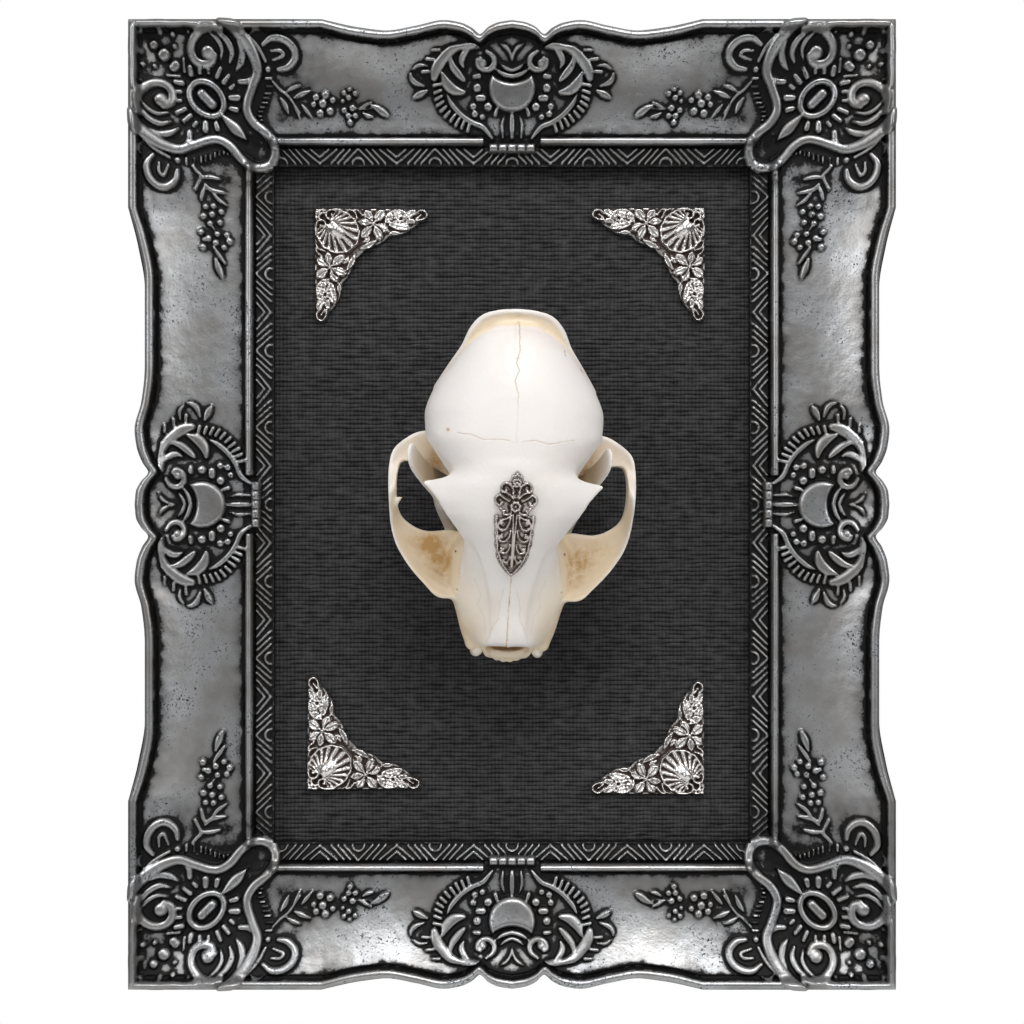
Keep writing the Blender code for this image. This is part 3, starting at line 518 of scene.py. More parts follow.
@dataclass(frozen=True)
class SilverFinish:
    """Silver with dark tarnish in its hollows and pits, and clean worn edges."""

    name: str
    worn: Colour
    dull: Colour
    tarnish: Colour
    scale: float
    raggedness: float
    pits: float
    roughness: tuple[float, float]
    bump: float
    film: float = 0.0

    def make(self, effects: Effects) -> Material:
        """Builds the material, which reads the vertex value called cavity.

        Args:
            effects: the node groups that the finishes share.

        Returns:
            The material.
        """
        bench = Bench(self.name)
        cavity = bench.mask("cavity")
        patina = bench.effect(effects.patina, Cavity=cavity, Scale=self.scale,
                              Raggedness=self.raggedness)
        mottle = bench.effect(effects.mottle, Blotch_Scale=70.0, Pit_Amount=self.pits)
        grain = bench.effect(effects.grain, Scale=1400.0, Coarse=0.8)
        metal = bench.mix(mottle["Blotch"], self.dull, self.worn)
        veil = bench.math("MULTIPLY", bench.ramp(cavity, 0.05, 0.75), self.film)
        metal = bench.mix(veil, metal, self.tarnish)
        dark = bench.math("MAXIMUM", patina["Mask"], mottle["Pits"])
        return bench.finish(grain["Height"], self.bump, 0.0002, Metallic=1.0,
                            Base_Color=bench.mix(dark, metal, self.tarnish),
                            Roughness=bench.spread(dark, *self.roughness))


@dataclass(frozen=True)
class BoneFinish:
    """Clean dry bone, its hollows and lower sides painted a warm yellowish shade, partly its own
    tone, with brown stains and fine pores.
    """

    bright: Colour = colour(0.78, 0.745, 0.715)
    cream_and_shade: Colour = colour(0.74, 0.62, 0.455)
    brown: Colour = colour(0.48, 0.285, 0.10)
    line: Colour = colour(0.44, 0.31, 0.19)
    blush: Colour = colour(0.72, 0.65, 0.61)

    def make(self, effects: Effects) -> Material:
        """Builds the material, which reads the vertex values cavity, stain and suture; cavity
        brings in painted shade as well as the bone's own warmer tone.

        Args:
            effects: the node groups that the finishes share.

        Returns:
            The material.
        """
        bench = Bench("clean_bone")
        mottle = bench.effect(effects.mottle, Blotch_Scale=90.0, Pit_Scale=900.0,
                              Pit_Amount=0.12)
        grain = bench.effect(effects.grain, Scale=1100.0, Coarse=1.2)
        # Painted shade: the cavity value, with a little random blotching, mixes in the warm colour
        # where the bone lies in hollows, low down or facing away from the light.
        warm_shade_and_blotch = bench.math("MULTIPLY_ADD", mottle["Blotch"], 0.14, bench.mask("cavity"))
        base = bench.mix(bench.ramp(bench.noise(38.0), 0.5, 0.75), self.bright, self.blush)
        base = bench.mix(bench.ramp(warm_shade_and_blotch, 0.1, 1.0), base, self.cream_and_shade)
        spots = bench.ramp(bench.noise(800.0, 6.0, 0.7), 0.4, 0.62)
        cloud = bench.ramp(bench.noise(160.0), 0.2, 0.75)
        share = bench.math("MULTIPLY_ADD", spots, 0.6, cloud)
        base = bench.mix(bench.math("MULTIPLY", bench.mask("stain"), share), base, self.brown)
        base = bench.mix(bench.mask("suture"), base, self.line)
        return bench.finish(grain["Height"], 0.25, 0.00025, Base_Color=base,
                            Roughness=bench.spread(mottle["Blotch"], 0.40, 0.56),
                            Subsurface_Weight=0.12, Subsurface_Scale=0.0012,
                            Subsurface_Radius=(1.0, 0.7, 0.45))


@dataclass(frozen=True)
class ToothFinish:
    """Enamel that is whiter at the tip and yellow towards the root."""

    tip: Colour = colour(0.82, 0.78, 0.70)
    root: Colour = colour(0.74, 0.65, 0.50)

    def make(self, effects: Effects) -> Material:
        """Builds the material, which reads the vertex value called cavity: 1 at the root.

        Args:
            effects: the node groups that the finishes share.

        Returns:
            The material.
        """
        bench = Bench("enamel")
        mottle = bench.effect(effects.mottle, Blotch_Scale=500.0, Pit_Amount=0.0)
        grain = bench.effect(effects.grain, Scale=2000.0, Coarse=0.5)
        share = bench.math("MULTIPLY_ADD", mottle["Blotch"], 0.2, bench.mask("cavity"))
        return bench.finish(grain["Height"], 0.05, 0.0001, Coat_Weight=0.3,
                            Base_Color=bench.mix(share, self.tip, self.root),
                            Roughness=bench.spread(share, 0.18, 0.4))


@dataclass(frozen=True)
class CardFinish:
    """Matt black card with a woven canvas surface, darker in its grooves as painted shade."""

    deep: Colour = colour(0.003, 0.003, 0.0035)
    ridge: Colour = colour(0.052, 0.050, 0.052)
    thread: float = 331.0

    def make(self, effects: Effects) -> Material:
        """Builds the material, which reads the vertex value called cavity.

        Args:
            effects: the node groups that the finishes share.

        Returns:
            The material.
        """
        bench = Bench("woven_black_card")
        mottle = bench.effect(effects.mottle, Blotch_Scale=420.0, Pit_Scale=2500.0,
                              Pit_Amount=0.2)
        grain = bench.effect(effects.grain, Scale=2600.0, Coarse=0.6)
        threads = bench.add("TexWave", {"bands_direction": "X"}, Vector=bench.place,
                            Scale=self.thread, Distortion=1.6, Detail=2.0,
                            Detail_Scale=2.0).outputs["Fac"]
        # Painted shade: the grooves take the deep colour by their depth; random blotches and the
        # thread bands vary it too.
        share = bench.math("MULTIPLY_ADD", mottle["Blotch"], 0.3, bench.mask("cavity"))
        share = bench.math("MULTIPLY_ADD", threads, 0.34, share)
        return bench.finish(bench.math("ADD", grain["Height"], threads), 0.5, 0.00015,
                            Base_Color=bench.mix(share, self.ridge, self.deep),
                            Roughness=bench.spread(mottle["Blotch"], 0.62, 0.8),
                            Specular_IOR_Level=0.2)


@dataclass(frozen=True)
class BoardFinish:
    """Brown pressed-fibre board."""

    pale: Colour = colour(0.26, 0.17, 0.10)
    dark: Colour = colour(0.13, 0.08, 0.045)

    def make(self, effects: Effects) -> Material:
        """Builds the material.

        Args:
            effects: the node groups that the finishes share.

        Returns:
            The material.
        """
        bench = Bench("fibre_board")
        mottle = bench.effect(effects.mottle, Blotch_Scale=240.0, Pit_Scale=2200.0,
                              Pit_Amount=0.32)
        grain = bench.effect(effects.grain, Scale=1800.0, Coarse=0.5)
        base = bench.mix(mottle["Blotch"], self.dark, self.pale)
        return bench.finish(grain["Height"], 0.4, 0.0003,
                            Base_Color=bench.mix(mottle["Pits"], base, self.dark),
                            Roughness=bench.spread(mottle["Blotch"], 0.7, 0.85))


ANTIQUE_SILVER = SilverFinish(
    "antique_silver_cast", worn=colour(0.50, 0.51, 0.525), dull=colour(0.35, 0.34, 0.33),
    tarnish=colour(0.020, 0.019, 0.019), scale=1300.0, raggedness=0.9, pits=0.16,
    roughness=(0.38, 0.6), bump=0.25, film=0.5)
STAMPED_SILVER = SilverFinish(
    "stamped_silver", worn=colour(0.84, 0.82, 0.80), dull=colour(0.66, 0.63, 0.61),
    tarnish=colour(0.055, 0.040, 0.034), scale=1600.0, raggedness=0.5, pits=0.0,
    roughness=(0.2, 0.6), bump=0.15)
LEAF_SILVER = replace(
    STAMPED_SILVER, name="leaf_silver", worn=colour(0.66, 0.62, 0.60),
    dull=colour(0.47, 0.42, 0.39), tarnish=colour(0.045, 0.028, 0.022))
PLAIN_STEEL = SilverFinish(
    "zinc_plated_steel", worn=colour(0.62, 0.62, 0.63), dull=colour(0.45, 0.45, 0.46),
    tarnish=colour(0.10, 0.09, 0.08), scale=1200.0, raggedness=0.4, pits=0.1,
    roughness=(0.3, 0.6), bump=0.15)


# ---------------------------------------------------------------- the frame's ornament


@dataclass(frozen=True)
class Stroke:
    """A raised stroke of cast ornament: its relief and its points, as (a, b, half width)."""

    relief: float
    points: Line


def strokes(*rows: Sequence[float]) -> tuple[Stroke, ...]:
    """Reads strokes from rows of a relief and its points, all in tenths of a millimetre."""
    return tuple(Stroke(row[0] / 10, tenths(3, *row[1:])) for row in rows)


# On the corners (a, b) is the distance from the outer corner along and into the picture. The
# pairs are mirrored on the corner's diagonal. On a rail's middle (a, b) is the distance from the
# middle and from the outer line, mirrored on the middle.
CORNER_PAIRS = strokes((13, 232, 28, 7, 205, 24, 9, 178, 29, 11, 158, 51, 11, 153, 74, 11, 161, 95,
    11, 180, 105, 11, 201, 101, 11, 210, 85, 10), (17, 195, 78, 17), (9, 185, 22, 3, 214, 40, 6,
    230, 67, 6, 226, 95, 3), (11, 212, 26, 4, 240, 45, 8, 255, 74, 8, 249, 100, 4), (11, 271, 51,
    4, 281, 74, 9, 277, 99, 9, 264, 119, 3), (12, 148, 112, 7, 150, 128, 8), (10, 172, 117, 6, 172,
    125, 6), (10, 195, 118, 5, 194, 125, 5), (12, 225, 115, 6, 215, 135, 7), (12, 245, 132, 6, 231,
    148, 7), (9, 256, 155, 5, 248, 162, 6), (12, 248, 185, 8, 266, 185, 9), (11, 248, 211, 7, 262,
    214, 8), (16, 232, 4, 10, 263, 20, 15, 289, 51, 15, 309, 85, 14, 317, 121, 13, 304, 157, 12,
    291, 193, 12, 290, 220, 12, 306, 247, 12, 334, 271, 12, 355, 298, 12, 358, 325, 12, 351, 345,
    13), (10, 272, 146, 7, 294, 144, 8, 312, 128, 6), (9, 294, 34, 4, 320, 63, 5, 339, 98, 5), (7,
    299, 38, 3, 314, 28, 4, 336, 30, 2), (12, 334, 59, 6, 358, 44, 9, 389, 49, 10, 410, 69, 10,
    412, 92, 10, 394, 112, 9, 370, 117, 6), (8, 353, 73, 4, 376, 73, 5, 384, 84, 5, 357, 95, 4),
    (10, 344, 117, 8), (8, 338, 138, 4, 352, 138, 4), (12, 112, 108, 12), (8, 112, 63, 6), (8, 133,
    92, 4, 134, 122, 5), (8, 22, 11, 8, 49, 13, 11, 80, 10, 9, 112, 15, 10, 138, 11, 8, 169, 17,
    9), (7, 32, 30, 6), (7, 78, 30, 8), (7, 109, 35, 7), (7, 149, 31, 6))
CORNER_MIDDLE = strokes((20, 176, 176, 12.5, 202, 202, 12.5), (2.2, 306, 306, 23, 330, 330, 17),
    (17, 226, 228, 4, 246, 248, 12, 264, 266, 14, 289, 291, 2), (13, 61, 60, 11), (15, 85, 83, 15))
SPRIGS = strokes((7, 355, 146, 4, 374, 166, 4, 394, 182, 4, 423, 222, 3), (8, 388, 170, 2, 405,
    161, 6, 423, 154, 3), (8, 407, 185, 3, 427, 176, 7, 449, 168, 3), (8, 374, 185, 3, 385, 202, 7,
    393, 222, 3), (8, 405, 196, 3, 413, 213, 5, 421, 233, 3), (8, 427, 202, 3, 438, 215, 6, 452,
    232, 3), (9, 463, 184, 9), (10, 487, 178, 10), (9, 505, 191, 8), (9, 457, 201, 8), (11, 480,
    199, 11), (10, 498, 217, 10), (10, 473, 222, 10), (9, 534, 173, 7), (9, 548, 165, 6), (9, 562,
    175, 7), (10, 546, 185, 8), (9, 531, 193, 6), (10, 555, 210, 9), (10, 534, 215, 8), (9, 562,
    229, 8), (9, 545, 229, 8), (10, 549, 245, 8), (8, 572, 212, 3, 587, 204, 5, 603, 196, 3), (8,
    581, 222, 3, 594, 229, 6, 606, 231, 3), (10, 603, 204, 3, 618, 211, 8, 634, 222, 9, 645, 229,
    4), (6, 565, 211, 3, 583, 213, 3, 603, 211, 3), (8, 152, 357, 4, 163, 370, 5, 173, 384, 5, 160,
    415, 5), (8, 174, 385, 4, 196, 384, 6, 219, 389, 4), (8, 183, 402, 4, 196, 415, 6, 216, 421, 6,
    234, 423, 3), (8, 186, 404, 4, 178, 422, 6, 174, 441, 4), (8, 204, 426, 4, 218, 442, 6, 236,
    454, 3), (9, 185, 459, 8), (9, 204, 457, 8), (9, 223, 471, 8), (10, 180, 483, 9), (11, 201,
    478, 9), (10, 220, 498, 8), (10, 196, 501, 8), (9, 174, 523, 8), (10, 192, 539, 9), (9, 214,
    528, 8), (9, 237, 530, 8), (10, 179, 561, 9), (10, 210, 550, 9), (10, 244, 546, 9), (10, 230,
    561, 8), (8, 182, 542, 6), (8, 205, 561, 4, 218, 581, 6, 232, 601, 4), (10, 210, 590, 4, 218,
    615, 9, 227, 637, 5), (7, 200, 507, 3, 207, 518, 3))
CARTOUCHE = strokes((11, 0, 134, 6, 23, 128, 6, 45, 114, 2), (10, 0, 120, 5, 16, 114, 5, 31, 103,
    2), (9, 0, 95, 3, 5, 78, 4, 14, 66, 5, 28, 58, 2), (12, 64, 76, 5, 48, 87, 7, 44, 103, 8, 54,
    116, 8, 70, 120, 7, 84, 112, 7, 88, 99, 6, 79, 93, 5), (13, 72, 104, 10), (11, 83, 69, 3, 105,
    65, 9, 128, 66, 9, 148, 65, 5, 160, 65, 2), (11, 109, 72, 4, 122, 84, 9, 127, 100, 8, 120, 116,
    2), (13, 124, 65, 5, 154, 75, 12, 175, 95, 14, 190, 116, 14, 196, 137, 10), (12, 156, 85, 4,
    151, 107, 9, 138, 125, 10, 124, 140, 7, 118, 146, 2), (12, 175, 127, 5, 165, 150, 13, 147, 166,
    13, 124, 172, 7, 117, 170, 2), (11, 165, 176, 2, 152, 201, 7, 128, 227, 7, 101, 245, 7, 74,
    257, 7, 56, 278, 5, 49, 286, 3), (10, 95, 135, 6, 83, 134, 7), (11, 88, 162, 11), (11, 85, 186,
    9, 73, 186, 9), (10, 98, 206, 9), (11, 60, 207, 11), (10, 38, 213, 5, 42, 226, 6), (10, 94,
    225, 9), (9, 75, 232, 8), (8, 19, 229, 2, 25, 252, 4, 23, 283, 3), (8, 199, 72, 4, 182, 72, 5),
    (8, 214, 93, 5, 197, 94, 5), (8, 249, 117, 3, 234, 108, 5, 212, 109, 3), (9, 255, 127, 3, 253,
    139, 6, 242, 150, 7, 221, 157, 3), (8, 225, 123, 5, 210, 122, 5), (10, 249, 186, 3, 234, 177,
    9, 214, 168, 4), (9, 2, 220, 2, 2, 249, 5, 2, 284, 3))
RIB_TICKS = tenths(3, 157, 346, 15, 174, 341, 14, 185, 337, 14, 197, 333, 13, 208, 328, 12, 219,
    323, 10, 230, 322, 7, 240, 325, 5, 251, 327, 4)
CARTOUCHE_TICKS = tenths(2, 189, 154, 187, 170, 185, 185, 181, 199, 173, 212, 163, 225, 150, 235,
    138, 245, 124, 251, 110, 259)


class Side(Enum):
    """The four rails, by their quarter turns from the top one."""

    TOP, RIGHT, BOTTOM, LEFT = range(4)

    @property
    def upright(self) -> bool:
        """Whether the rail stands upright."""
        return self in (Side.RIGHT, Side.LEFT)


@dataclass(frozen=True)
class FrameSize:
    """Sizes of the frame in mm."""

    width: float = 191.6
    height: float = 242.2
    rail: float = 35.3
    bead: float = 2.6
    bead_top: float = 20.0
    wall_top: float = 18.2
    scoop_top: float = 17.4
    scoop_foot: float = 10.8
    scoop_end: float = 28.2
    inner_bead: float = 2.2
    inner_bead_top: float = 12.5
    band_top: float = 10.3
    lip_top: float = 8.7
    lip_underside: float = 5.6
    rebate: float = 4.0
    short_edge: Line = tenths(2, 0, 2, 32, 7, 58, 18, 82, 37, 104, 20, 130, 8, 170, 2, 240, 16,
        315, 28, 390, 20, 475, 0)
    long_edge: Line = tenths(2, 0, 16, 32, 19, 58, 32, 82, 50, 110, 34, 145, 21, 188, 16, 260, 33,
        340, 41, 560, 41, 660, 24, 740, 0)

    def length(self, side: Side) -> float:
        """Gives a rail's length."""
        return self.height if side.upright else self.width

    def edge(self, upright: bool, along: Array) -> Array:
        """Reads how far the outer line steps in, at distances from a rail's middle."""
        return curve(self.long_edge if upright else self.short_edge, np.abs(along))


@dataclass
class OrnamentRaster:
    """Heights of a quarter of the frame over a fine raster, measured from its outer corner."""

    size: FrameSize = FrameSize()
    pixel: float = 0.15
    side_shift: float = 1.5
    ball_radius: float = 6.1
    ball_inset: float = 16.2
    bite_radius: float = 7.6
    bite_inset: float = 7.0
    recess: float = 7.2
    loop: float = 35.0
    bead_row: float = 31.0
    bead_pitch: float = 2.35
    bead_reach: float = 5.9
    band: tuple[float, float] = (31.1, 34.6)
    band_period: float = 19.5
    band_end: float = 35.6
    halo_reach: float = 1.15
    fatten: float = 1.14
    flatness: float = 2.6
    ring: tuple[float, float, float] = (18.8, 4.85, 3.6)

    def __post_init__(self) -> None:
        """Lays out the raster, raises the ornament and works out the tarnish."""
        halves = (self.size.width / 2, self.size.height / 2)
        self.a, self.b = (np.arange(-1.0, half + 1.0, self.pixel) for half in halves)
        self.grid_a, self.grid_b = np.meshgrid(self.a, self.b)
        self.upright = self.grid_a < self.grid_b
        self.raised = np.zeros_like(self.grid_a)
        self.ground = self._moulding()
        self._draw_corner()
        for side in (Side.TOP, Side.LEFT):
            self._draw_cartouche(side)
            self._draw_band(side)
        self.heights = self._combine()
        self.tarnish = self._tarnish()

    def _moulding(self) -> Array:
        """Works out the plain moulding: beads, scoop, band and lip.

        Returns:
            Its height at each cell.
        """
        size = self.size
        beside, above = size.height / 2 - self.grid_b, size.width / 2 - self.grid_a
        self.inset = inset = np.where(self.upright, self.grid_a, self.grid_b)
        self.along = np.abs(np.where(self.upright, beside, above))
        edge = np.where(self.upright, size.edge(True, beside), size.edge(False, above))
        start = edge + size.bead
        f = np.clip((inset - start) / (size.scoop_end - start), 0, 1)
        height = size.scoop_foot + (size.scoop_top - size.scoop_foot) * (1 - f) ** 2
        round_share = (inset - edge - size.bead / 2) / (size.bead / 2)
        roll = np.sqrt(np.clip(1 - round_share**2, 0, 1))
        bead = size.wall_top + (size.bead_top - size.wall_top) * roll
        height = np.where(inset < start, bead, height)
        height -= 0.55 * bell(inset - start - 0.25, 0.28)
        self.past_scoop = inset > size.scoop_end
        fade = (inset - size.scoop_end) / (size.rail - size.scoop_end)
        band = size.band_top + (size.lip_top - size.band_top) * fade
        height = np.where(self.past_scoop, band, height)
        middle = size.scoop_end + size.inner_bead / 2
        inner = (inset - middle) / (size.inner_bead / 2)
        crown = (size.inner_bead_top - size.band_top) * np.sqrt(np.clip(1 - inner**2, 0, 1))
        clear = (self.along > self.recess) & (np.maximum(self.grid_a, self.grid_b) > self.loop)
        height += crown * clear * self.past_scoop
        for line in (size.scoop_end - 0.2, size.scoop_end + size.inner_bead + 0.2):
            height -= 0.4 * bell(inset - line, 0.22)
        self.from_edge = inset - edge
        return height - 0.4 * bell(inset - size.rail + 0.75, 0.2)

    def stamp(self, drawn: Sequence[Stroke], *places: Place) -> None:
        """Raises strokes.

        Args:
            drawn: the strokes.
            places: each turns a stroke's (a, b) into raster places, for one copy of it.
        """
        for stroke in drawn:
            for x, y, half in spline(stroke.points, 0.2):
                radius = half * self.fatten
                for a, b in (place(x, y) for place in places):
                    part = window((self.b, self.a), [(b, a)], radius)
                    away = np.hypot(self.grid_a[part] - a, self.grid_b[part] - b)
                    share = 1 - (away / max(radius, 0.1)) ** self.flatness
                    top = stroke.relief * np.sqrt(np.clip(share, 0, 1))
                    np.maximum(self.raised[part], top, out=self.raised[part])

    def _draw_corner(self) -> None:
        """Draws the corner, mirrored on the diagonal, and the sprigs beside it."""
        turn = np.linspace(0, 2 * np.pi, 41)
        middle, long, wide = self.ring
        along, across = long * np.cos(turn), wide * np.sin(turn)
        ring_a = middle + (along - across) * math.sqrt(0.5)
        ring_b = middle + (along + across) * math.sqrt(0.5)
        ring = Stroke(1.5, tuple((a, b, 0.85) for a, b in zip(ring_a, ring_b)))
        ticks = [Stroke(0.9, ((a, b - reach / 2, 0.32), (a, b + reach / 2, 0.32)))
                 for a, b, reach in RIB_TICKS]
        self.stamp((ring, *CORNER_MIDDLE, *SPRIGS), lambda x, y: (x, y))
        self.stamp((*CORNER_PAIRS, *ticks), lambda x, y: (x, y), lambda x, y: (y, x))

    def _both_ways(self, side: Side, shift: float) -> list[Place]:
        """Gives the maps from a rail's middle and outer line to the raster.

        Args:
            side: which rail.
            shift: how much further in an upright rail has its ornament.

        Returns:
            The map, and the same one mirrored on the rail's middle.
        """
        half = self.size.length(side) / 2
        if side.upright:
            return [lambda x, y, s=s: (y + shift, half - s * x) for s in (1, -1)]
        return [lambda x, y, s=s: (half - s * x, y) for s in (1, -1)]

    def _draw_cartouche(self, side: Side) -> None:
        """Draws the ornament in the middle of a rail, mirrored on the middle.

        Args:
            side: a rail, which stands for the opposite one too.
        """
        ticks, reach = [], 0.85
        for x, y in CARTOUCHE_TICKS:
            out = Vector((x - 7.5, y - 13.0)).normalized() * reach
            ticks.append(Stroke(1.0, ((x - out.x, y - out.y, 0.5), (x + out.x, y + out.y, 0.55))))
        self.stamp((*CARTOUCHE, *ticks), *self._both_ways(side, self.side_shift))
        inset = self.inset - self.side_shift * side.upright
        ball = self.ball_radius - np.hypot(self.along, inset - self.ball_inset)
        bite = np.hypot(self.along, inset - self.bite_inset) - self.bite_radius
        rim = np.clip(np.minimum(ball, bite) / 1.5, 0, 1)
        dome = 1.9 * np.sqrt(1 - (1 - rim) ** 2)
        share = np.abs((self.along / self.bead_pitch + 0.5) % 1 - 0.5) * 2
        barrel = 1.35 * np.sqrt(np.clip(1 - (0.95 * share) ** 6, 0, 1))
        row = np.clip(1 - ((self.inset - self.bead_row) / 1.4) ** 2, 0, 1)
        beads = (1.6 * np.sqrt(row) * barrel) * (self.along < self.bead_reach)
        here = self.upright == side.upright
        np.maximum(self.raised, np.maximum(dome, beads) * here, out=self.raised)

    def _draw_band(self, side: Side) -> None:
        """Draws the zigzag band beside the opening, on the lip, mirrored on a rail's middle.

        Args:
            side: a rail, which stands for the opposite one too.
        """
        (low, high), half = self.band, self.size.length(side) / 2
        lines = [((0.2, low), (3.6, high)), ((2.0, low), (5.2, high)), ((3.6, low), (6.9, high)),
                 ((5.4, low), (self.band_period / 2, high)),
                 ((7.4, low), (self.band_period / 2, low + 2.0))]
        ring = [(1.5 * math.sin(t), high + 0.1 - 1.5 * math.cos(t)) for t in
                np.linspace(0, 1.5, 5)]
        drawn = []
        for middle in np.arange(0, half, self.band_period):
            for sign in (-1, 1):
                for (x, y), (v, w) in (*lines, *zip(ring, ring[1:])):
                    start, end = middle + sign * x, middle + sign * v
                    if max(start, end) < half - self.band_end:
                        drawn.append(Stroke(0.62, ((start, y, 0.3), (end, w, 0.3))))
        self.stamp(drawn, *self._both_ways(side, 0.0))

    def _combine(self) -> Array:
        """Lays the ornament on the softened moulding.

        Returns:
            The height at each cell.
        """
        cells = int(0.7 / self.pixel)
        bed = blur(self.ground, cells)
        wavy = 0.02 * speckle(self.ground.shape, 12, 3) + 0.012 * speckle(self.ground.shape, 4, 4)
        lifted = np.maximum(self.ground, bed + self.raised)
        shown = rise(self.raised, 0.0, 0.15)
        return self.ground + (lifted - self.ground) * shown + wavy * (self.from_edge > 2.4)

    def _tarnish(self) -> Array:
        """Works out how dark each place is, from 0 on worn tops to 1 in hollows.

        Returns:
            The value at each cell.
        """
        print_of = (self.raised > 0.12) & (self.inset < self.size.scoop_end + 2.5)
        halo = blur(print_of, int(self.halo_reach / self.pixel))
        wide = blur(print_of, int(2.8 * self.halo_reach / self.pixel))
        near = rise(halo, 0.0, 0.8) * 0.65 + 0.45 * rise(wide, 0.0, 0.6)
        height = self.heights
        hollow = (blur(height, int(0.5 / self.pixel)) - height) / 0.22
        broad = (blur(height, int(1.2 / self.pixel)) - height) / 0.5
        edge_dark = np.exp(-np.clip(self.from_edge - self.size.bead, 0, 50) / 2.5)
        edge_dark *= self.from_edge > self.size.bead - 0.3
        foot = np.exp(-np.abs(self.inset - self.size.scoop_end + 0.4) / 1.9)
        foot *= ~self.past_scoop
        clean = rise(self.raised, 0.25, 0.75)
        end = 0.62 * rise(-np.maximum(self.grid_a, self.grid_b), -54.0, -38.0)
        flat = np.maximum.reduce([near, edge_dark, 0.9 * foot, end])
        flat = flat * (1 + 0.22 * speckle(flat.shape, 5, 7) + 0.15 * speckle(flat.shape, 22, 8))
        band = 0.85 * (self.inset > self.size.scoop_end + self.size.inner_bead)
        flat = np.maximum(flat, band * (1 - rise(self.raised, 0.15, 0.4)))
        grime = flat * (1 - clean) + 0.34 * clean + 0.8 * np.clip(hollow, 0, 1)
        grime += 0.4 * np.clip(broad, 0, 1)
        bright_bead = (self.from_edge > 0.25) & (self.from_edge < self.size.bead - 0.3)
        grime = np.where(bright_bead, 0.26 + 0.3 * grime, grime)
        return np.clip(blur(grime, 1), 0, 1.2)

    def read(self, upright: bool, inset: Array, from_end: Array) -> tuple[Array, Array]:
        """Reads height and tarnish on a rail, from its outer box and its nearer end.

        Args:
            upright: whether it is the left or the right rail.
            inset: distances from the frame's outer box.
            from_end: distances from the rail's nearer end.

        Returns:
            Heights and tarnish at each place.
        """
        spot = (from_end, inset) if upright else (inset, from_end)
        return tuple(sample(values, (self.b, self.a), *spot)
                     for values in (self.heights, self.tarnish))


